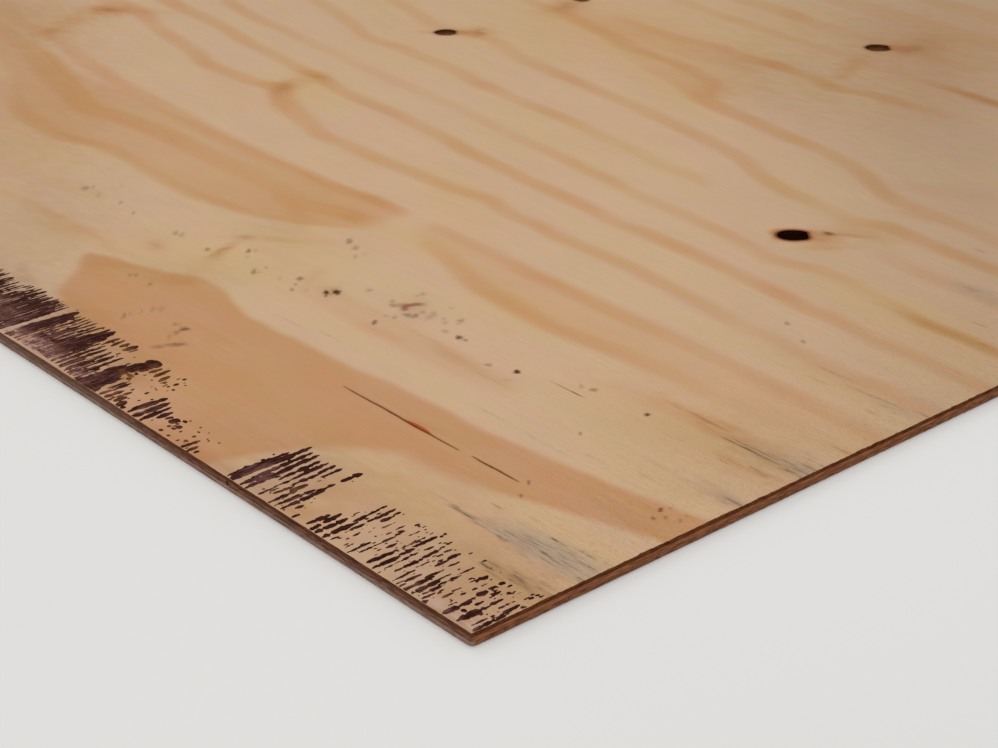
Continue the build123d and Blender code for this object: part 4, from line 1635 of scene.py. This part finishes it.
def face_grain(graph):
    """The places on the face and the noises that run with its fibres."""
    x, y, _ = graph.place()
    line = graph.value("fibre")
    broad = graph.centred(graph.noise(x, line, 0.0, (420.0, 16.0, 1.0), 3.0, 0.55))
    streak = graph.centred(graph.noise(x, line, 3.0, (110.0, 2.6, 1.0), 3.0, 0.6))
    fine = graph.centred(graph.noise(x, line, 7.0, (26.0, 0.75, 1.0), 2.0, 0.6))
    cloud = graph.centred(graph.noise(x, y, 11.0, (70.0, 38.0, 1.0), 3.0, 0.5))
    return Grain(x, y, line, graph.value("near_end"), broad, streak, fine, cloud)


def bands_and_patch(graph, grain):
    """The wood with its bands and its tan patch, and how much of the patch shows."""
    uneven = graph.scaled(grain.streak, 0.9, 1.0)
    late = graph.times(graph.value("late"), uneven)
    late = graph.scaled(grain.broad, 0.40, late)
    late = graph.scaled(graph.math("POWER", grain.near_end, 2.0), 0.06, late)
    colour = graph.mix(late, pale_wood, late_tan)
    upper = graph.scaled(grain.streak, 3.5, graph.value("patch"))
    upper = graph.ramp(upper, -patch_soft, patch_soft)
    patch = graph.times(upper, graph.value("patch_shown"))
    mottled = graph.ramp(graph.math("ADD", grain.cloud, grain.broad), -0.25, 0.2, 0.78, 1.0)
    patch = graph.times(patch, mottled)
    return graph.mix(patch, colour, patch_tan), patch


def tinted(graph, grain, colour):
    """Adds the slow change of hue and the orange and brown marks."""
    hue = graph.noise(grain.x, grain.line, 23.0, (170.0, 30.0, 1.0), 2.0, 0.5)
    tint = graph.mix(graph.ramp(hue, 0.36, 0.64), pinker, greener)
    colour = graph.mix(1.0, colour, tint, "MULTIPLY")
    broken = graph.scaled(grain.streak, 1.6, 0.8)
    colour = graph.mix(graph.times(graph.value("orange"), broken), colour, deep_orange)
    return graph.mix(graph.value("brown"), colour, dark_brown)


def streaked(graph, grain, colour, patch):
    """Adds cream streaks, dark ticks and dashes. Gives how dark the ticks are, too."""
    bare = graph.math("SUBTRACT", 1.0, patch)
    cream = graph.times(graph.ramp(grain.streak, 0.08, 0.3), graph.weathered(grain.near_end, 0.08, 0.22))
    colour = graph.mix(graph.times(cream, bare), colour, cream_wood)
    ticks = graph.noise(grain.x, grain.line, 15.0, (9.0, 0.55, 1.0), 1.0, 0.5)
    ticks = graph.times(graph.ramp(ticks, 0.6, 0.8), graph.weathered(grain.near_end, 0.10, 0.35))
    colour = graph.mix(ticks, colour, brown_streak)
    dashes = graph.noise(grain.x, grain.line, 31.0, (7.0, 0.7, 1.0), 2.0, 0.6)
    dashes = graph.times(graph.ramp(dashes, 0.56, 0.74), graph.weathered(grain.near_end, 0.0, 0.55))
    return graph.mix(dashes, colour, brown_streak), ticks


def lightness(graph, grain):
    """How light each place is, from the fine grain to the slow changes, with painted shade where the
    light falls off.
    """
    shade = graph.scaled(grain.fine, graph.weathered(grain.near_end, 0.10, 0.22), 1.0)
    shade = graph.scaled(grain.streak, graph.weathered(grain.near_end, 0.10, 0.12), shade)
    shade = graph.scaled(grain.broad, 0.08, shade)
    shade = graph.scaled(grain.cloud, 0.09, shade)
    grit = graph.centred(graph.noise(grain.x, grain.y, 27.0, (1.5, 0.9, 1.0), 1.0, 0.5))
    shade = graph.scaled(grit, graph.weathered(grain.near_end, 0.05, 0.42), shade)
    # Painted shade: darker towards the corner of the near end and the far long edge, where the light
    # falls off, times the shade smudges
    painted_falloff_and_shade = graph.ramp(graph.math("ADD", grain.x, grain.y), 700.0, 1160.0, 1.0, 0.835)
    painted_falloff_and_shade = graph.times(painted_falloff_and_shade, graph.scaled(graph.value("shade"), -0.12, 1.0))
    return graph.times(shade, painted_falloff_and_shade)


def stained(graph, grain, colour):
    """Adds the blue stain, with darker lines in it."""
    lines = graph.noise(grain.x, grain.line, 19.0, (20.0, 0.95, 1.0), 3.0, 0.7)
    stain = graph.times(graph.value("stain"), graph.ramp(lines, 0.36, 0.62, 0.55, 1.0))
    colour = graph.mix(graph.times(stain, 0.82), colour, stain_grey)
    dark_lines = graph.times(graph.value("stain"), graph.ramp(lines, 0.53, 0.61))
    return graph.mix(graph.times(dark_lines, 0.7), colour, stain_brown)


def soiled(graph, grain, colour):
    """Adds the specks of dirt and the lines of opened grain."""
    specks_here = graph.times(graph.value("dirt"), graph.scaled(grain.fine, 0.6, 1.0))
    soil = graph.mix(graph.ramp(graph.value("dirt_red"), 0.0, 0.3), dark_soil, red_soil)
    colour = graph.mix(specks_here, colour, soil)
    threads = graph.noise(grain.x, grain.line, 35.0, (18.0, 1.0, 1.0), 2.0, 0.6)
    opened = graph.times(graph.value("opened"), graph.ramp(threads, 0.40, 0.56, 0.35, 1.0))
    return graph.mix(opened, colour, opened_brown)


def split_open(graph, colour):
    """Adds the splits and the resin in one of them. Gives how much of the resin shows, too."""
    split = graph.value("split")
    colour = graph.mix(graph.ramp(split, 1.6, 0.2, 0.0, 0.55), colour, split_lip)
    resin = graph.ramp(graph.value("resin"), 0.1, 0.5)
    colour = graph.mix(resin, colour, resin_red)
    return graph.mix(graph.ramp(split, 0.4, -0.1, 0.0, 0.9), colour, split_deep), resin


def face_wood():
    """The open side of the face veneer, from its figure."""
    graph = Graph("face_wood")
    grain = face_grain(graph)
    colour, patch = bands_and_patch(graph, grain)
    colour = tinted(graph, grain, colour)
    colour, ticks = streaked(graph, grain, colour, patch)
    colour = graph.brighten(colour, lightness(graph, grain))
    colour = graph.mix(graph.value("yellow"), colour, graph.mix(1.0, colour, yellowed, "MULTIPLY"))
    # Pale places by the paint: worn wood, and partly painted highlight on the raised fibres beside the
    # strokes
    worn_and_highlit = graph.times(graph.value("worn"), graph.ramp(grain.streak, -0.15, 0.15, 0.25, 0.75))
    colour = graph.mix(worn_and_highlit, colour, worn_and_highlit_wood)
    colour = stained(graph, grain, colour)
    colour = knot_colours(graph, colour, grain.x, grain.y)
    colour = soiled(graph, grain, colour)
    colour, resin = split_open(graph, colour)
    height = graph.scaled(grain.fine, 0.5, graph.times(grain.streak, 0.8))
    height = graph.math("SUBTRACT", height, graph.times(ticks, 1.2))
    rough = graph.scaled(grain.fine, 0.2, 0.66)
    rough = graph.math("SUBTRACT", rough, graph.times(resin, 0.3))
    return graph.finish(colour, rough, height, 0.12, Specular_IOR_Level=0.10)


def knot_colours(graph, colour, x, y):
    """Adds the sound parts of the knots and the stained wood round the holes."""
    knot = graph.value("knot")
    hole = graph.value("hole")
    tone = graph.value("knot_tone")
    rings = graph.noise(knot, x, y, (1.6, 30.0, 30.0), 2.0, 0.6)
    halo = graph.times(graph.ramp(knot, 15.0, -1.0, 0.0, 0.7), tone)
    colour = graph.mix(halo, colour, halo_tan)
    light = graph.mix(graph.ramp(rings, 0.35, 0.65), *light_rings)
    dark = graph.mix(graph.ramp(rings, 0.35, 0.65), *dark_rings)
    sound = graph.mix(tone, light, dark)
    colour = graph.mix(graph.times(graph.ramp(knot, 4.0, -4.0), tone), colour, sound)
    char = graph.value("char")
    rim = graph.times(graph.ramp(hole, 8.0, 0.4, 0.0, 0.85), char)
    colour = graph.mix(rim, colour, rim_orange)
    lip = graph.times(graph.ramp(hole, 4.0, -0.2), graph.scaled(char, 0.4, 0.6))
    return graph.mix(lip, colour, lip_brown)


def greyed_edge(graph, colour, x):
    """The colour of a long edge, greyer where the paint beside it is thick."""
    greyed = graph.ramp(x, 930.0, 850.0, 0.0, 0.2)
    return graph.mix(greyed, colour, edge_grey)


def sawn_side(name, pale, dark, along_x):
    """A sawn edge with the grain running along it: fine lines with darker streaks."""
    graph = Graph(name)
    x, y, z = graph.place()
    run, step = (x, y) if along_x else (y, x)
    line = graph.noise(run, z, step, (26.0, 0.35, 3.0), 3.0, 0.65)
    patches = graph.noise(run, z, step, (9.0, 1.2, 6.0), 3.0, 0.6)
    saw = graph.noise(run, z, step, (0.5, 2.5, 3.0), 2.0, 0.5)
    share = graph.scaled(graph.math("SUBTRACT", patches, 0.5), 0.9, line)
    colour = graph.mix(graph.ramp(share, 0.3, 0.7), dark, pale)
    colour = graph.brighten(colour, graph.scaled(saw, 0.3, 0.85))
    if along_x:
        colour = greyed_edge(graph, colour, x)
    height = graph.math("ADD", line, graph.times(saw, 0.6))
    return graph.finish(colour, 0.75, height, 0.2, Specular_IOR_Level=0.03)


def sawn_end(name, pale, dark, along_x):
    """A sawn edge across the grain: pores, short checks and saw marks."""
    graph = Graph(name)
    x, y, z = graph.place()
    run, step = (x, y) if along_x else (y, x)
    pores = graph.noise(run, z, step, (0.7, 0.5, 2.0), 3.0, 0.7)
    patches = graph.noise(run, z, step, (7.0, 1.6, 6.0), 3.0, 0.6)
    checks = graph.noise(run, z, step, (0.55, 4.5, 4.0), 2.0, 0.6)
    share = graph.scaled(graph.math("SUBTRACT", pores, 0.5), 0.9, patches)
    colour = graph.mix(graph.ramp(share, 0.28, 0.72), dark, pale)
    colour = graph.brighten(colour, graph.ramp(checks, 0.62, 0.78, 1.0, 0.55))
    if along_x:
        colour = greyed_edge(graph, colour, x)
    height = graph.math("SUBTRACT", pores, graph.ramp(checks, 0.6, 0.8))
    return graph.finish(colour, 0.8, height, 0.3, Specular_IOR_Level=0.03)


def hole_sides():
    """The walls of the knotholes: plain wood, or near-black bark that is redder in places; the bark's
    darkness is partly painted shade inside the holes.
    """
    graph = Graph("knothole_wall")
    x, y, z = graph.place()
    bark = graph.noise(x, y, z, (1.5, 1.5, 1.0), 3.0, 0.65)
    red = graph.noise(x, y, z, (9.0, 9.0, 9.0), 1.0, 0.5)
    plain = graph.mix(graph.ramp(bark, 0.35, 0.7), *plain_walls)
    # The near-black bark is partly painted shade inside the hole
    bark_and_shade = graph.mix(graph.ramp(bark, 0.35, 0.7), *bark_walls)
    bark_and_shade = graph.mix(graph.ramp(red, 0.5, 0.7, 0.0, 0.6), bark_and_shade, red_bark)
    colour = graph.mix(graph.value("char"), plain, bark_and_shade)
    return graph.finish(colour, 0.8, bark, 0.5, Specular_IOR_Level=0.0)


def glued_core():
    """The core's faces, dark with glue, as they show at the bottom of the knotholes, darkened further at
    each hole: partly dark glue, partly painted shade inside the hole.
    """
    graph = Graph("glued_core")
    x, y, z = graph.place()
    grain = graph.noise(x, y, z, (1.1, 30.0, 5.0), 3.0, 0.6)
    crust = graph.noise(x, y, z, (2.5, 2.5, 2.5), 3.0, 0.6)
    colour = graph.mix(graph.ramp(grain, 0.3, 0.7), *glue_browns)
    colour = graph.mix(graph.ramp(crust, 0.45, 0.65, 0.0, 0.7), colour, glue_crust)
    for knot in open_knots:
        over = graph.math("SUBTRACT", x, length / 2 - knot.along)
        up = graph.math("SUBTRACT", y, knot.across - width / 2)
        squares = (graph.math("POWER", side, 2.0) for side in (over, up))
        apart = graph.math("SQRT", graph.math("ADD", *squares))
        # Painted shade, with dark glue, on the floor of the hole: darkest within 13 mm of the knot's
        # middle
        glue_and_shade = graph.ramp(apart, 30.0, 13.0, 0.0, knot.char)
        colour = graph.mix(glue_and_shade, colour, glue_and_shade_black)
    return graph.finish(colour, 0.7, grain, 0.3, Specular_IOR_Level=0.0)


def back_wood():
    """The sheet's underside: plainer, duller pine."""
    graph = Graph("back_wood")
    x, y, z = graph.place()
    bend = graph.times(graph.noise(x, y, 40.0, (520.0, 190.0, 1.0), 2.0, 0.5), 70.0)
    line = graph.math("ADD", y, bend)
    bands = graph.noise(x, line, 1.0, (900.0, 26.0, 1.0), 3.0, 0.6)
    streak = graph.noise(x, line, 5.0, (90.0, 2.4, 1.0), 3.0, 0.6)
    fine = graph.noise(x, line, 9.0, (24.0, 0.8, 1.0), 2.0, 0.6)
    late = graph.ramp(graph.scaled(streak, 0.35, bands), 0.58, 0.86)
    colour = graph.mix(late, *back_woods)
    shade = graph.scaled(graph.math("SUBTRACT", fine, 0.5), 0.24, 1.0)
    colour = graph.brighten(colour, shade)
    height = graph.scaled(fine, 0.5, streak)
    rough = graph.scaled(fine, 0.2, 0.52)
    return graph.finish(colour, rough, height, 0.12, Specular_IOR_Level=0.35)


def dark_paint():
    """The brushed paint: dark maroon brown, mauve or brown where it is thin."""
    graph = Graph("edge_paint")
    x, y, z = graph.place()
    blot = graph.centred(graph.noise(x, y, z, (4.0, 6.0, 5.0), 3.0, 0.6))
    bristle = graph.centred(graph.noise(x, y, z, (1.7, 13.0, 5.0), 3.0, 0.6))
    grain = graph.centred(graph.noise(x, y, z, (6.0, 1.0, 2.0), 2.0, 0.6))
    uneven = graph.math("ADD", graph.math("ADD", blot, bristle), graph.times(grain, 0.6))
    colour = graph.mix(graph.ramp(uneven, -0.25, 0.35), *paint_maroons)
    brown = graph.scaled(graph.value("tips"), 1.2, uneven)
    colour = graph.mix(graph.ramp(brown, 0.2, 1.2, 0.0, 0.9), colour, tip_brown)
    mauve = graph.scaled(graph.value("mauve"), 1.1, uneven)
    colour = graph.mix(graph.ramp(mauve, 0.25, 1.2, 0.0, 0.85), colour, thin_mauve)
    hair = graph.centred(graph.noise(x, y, z, (1.1, 17.0, 5.0), 2.0, 0.6))
    thin = graph.scaled(graph.value("mauve"), 0.25, hair)
    colour = graph.mix(graph.ramp(thin, 0.06, 0.24, 0.0, 0.75), colour, hair_mauve)
    pale = graph.scaled(graph.value("mauve"), 0.7, uneven)
    colour = graph.mix(graph.ramp(pale, 0.52, 0.9, 0.0, 0.9), colour, rubbed_pale)
    rough = graph.scaled(grain, 0.2, 0.6)
    return graph.finish(colour, rough, bristle, 0.06, Specular_IOR_Level=0.02)


def floor_material():
    """Plain pale floor."""
    graph = Graph("floor")
    x, y, z = graph.place()
    tone = graph.noise(x, y, z, (900.0, 900.0, 900.0), 2.0, 0.5)
    colour = graph.mix(tone, *floor_greys)
    return graph.finish(colour, 0.9, Specular_IOR_Level=0.1)


# The pieces

def dressed(made, *materials):
    """A piece with its materials, in the order of their places in its mesh."""
    for material in materials:
        made.data.materials.append(material)
    return made


face = dressed(
    face_veneer(),
    face_wood(),
    sawn_side("face_long_edge", pale=linear(120, 72, 50), dark=linear(76, 40, 26), along_x=True),
    sawn_end("face_end", pale=linear(122, 70, 36), dark=linear(76, 36, 14), along_x=False),
    hole_sides(),
)
core = dressed(
    core_veneer(),
    glued_core(),
    sawn_end("core_long_edge", pale=linear(142, 102, 82), dark=linear(92, 58, 44), along_x=True),
    sawn_side("core_end", pale=linear(170, 112, 78), dark=linear(116, 68, 42), along_x=False),
)
back = dressed(
    back_veneer(),
    back_wood(),
    sawn_side("back_long_edge", pale=linear(176, 142, 124), dark=linear(122, 88, 72), along_x=True),
    sawn_end("back_end", pale=linear(164, 108, 76), dark=linear(108, 64, 42), along_x=False),
    glued_core(),
)
paint = dressed(edge_paint(), dark_paint())

for piece, node in ((face, "face_veneer"), (core, "core_veneer"), (back, "back_veneer")):
    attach(piece, "root")
    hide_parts(node)
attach(paint, "root")


# Floor, light and camera

# How far the floor lies below the sheet, in millimetres, and how far it reaches, in metres
floor_gap = 0.2
floor_reach = 40.0

# Square lamps: their name, place, aim, side and power
Lamp = namedtuple("Lamp", "name place aim side power")

lamps = rows_of(Lamp, (
    ("key", (1.25, -0.65, 2.6), (1.0, -0.35, 0.0), 1.8, 32.0),
    ("fill", (-1.6, 0.0, 2.6), (-0.6, 0.0, 0.0), 1.8, 14.0),
))
sky_strength = 0.48


def floor():
    """A wide floor just under the sheet."""
    mesh = bpy.data.meshes.new("floor")
    reach, low = floor_reach, -floor_gap * mm
    corners = [(-reach, -reach, low), (reach, -reach, low), (reach, reach, low), (-reach, reach, low)]
    mesh.from_pydata(corners, [], [(0, 1, 2, 3)])
    mesh.materials.append(floor_material())
    made = bpy.data.objects.new("floor", mesh)
    bpy.context.collection.objects.link(made)


def soft_light(lamp):
    """A square area light."""
    data = bpy.data.lights.new(lamp.name, "AREA")
    data.size = lamp.side
    data.energy = lamp.power
    made = bpy.data.objects.new(lamp.name, data)
    made.location = lamp.place
    direction = Vector(lamp.aim) - Vector(lamp.place)
    made.rotation_euler = direction.to_track_quat("-Z", "Y").to_euler()
    bpy.context.collection.objects.link(made)


def world_light(strength):
    """Even light from all round, with a white sky behind the floor."""
    world = bpy.data.worlds.new("studio")
    world.use_nodes = True
    tree = world.node_tree
    tree.nodes.clear()
    output = tree.nodes.new("ShaderNodeOutputWorld")
    background = tree.nodes.new("ShaderNodeBackground")
    path = tree.nodes.new("ShaderNodeLightPath")
    level = tree.nodes.new("ShaderNodeMapRange")
    level.inputs["To Min"].default_value = strength
    level.inputs["To Max"].default_value = 1.0
    tree.links.new(path.outputs["Is Camera Ray"], level.inputs["Value"])
    tree.links.new(level.outputs[0], background.inputs["Strength"])
    tree.links.new(background.outputs[0], output.inputs[0])
    background.inputs["Color"].default_value = (1.0, 1.0, 1.0, 1.0)
    bpy.context.scene.world = world


floor()
world_light(sky_strength)
for lamp in lamps:
    soft_light(lamp)

# The photo's camera, found from the straight edges of the corner, in millimetres and metres
focal_length = 77.55
sensor_width = 36.0
camera_place = (1.9526, -1.2274, 0.6316)
camera_heading = math.radians(49.015)
camera_pitch = math.radians(26.133)

camera_data = bpy.data.cameras.new("camera")
camera_data.lens = focal_length
camera_data.sensor_width = sensor_width
camera = bpy.data.objects.new("camera", camera_data)
camera.location = camera_place
camera.rotation_euler = (math.pi / 2 - camera_pitch, 0.0, camera_heading)
bpy.context.collection.objects.link(camera)
bpy.context.scene.camera = camera
bpy.context.scene.view_settings.view_transform = "Standard"
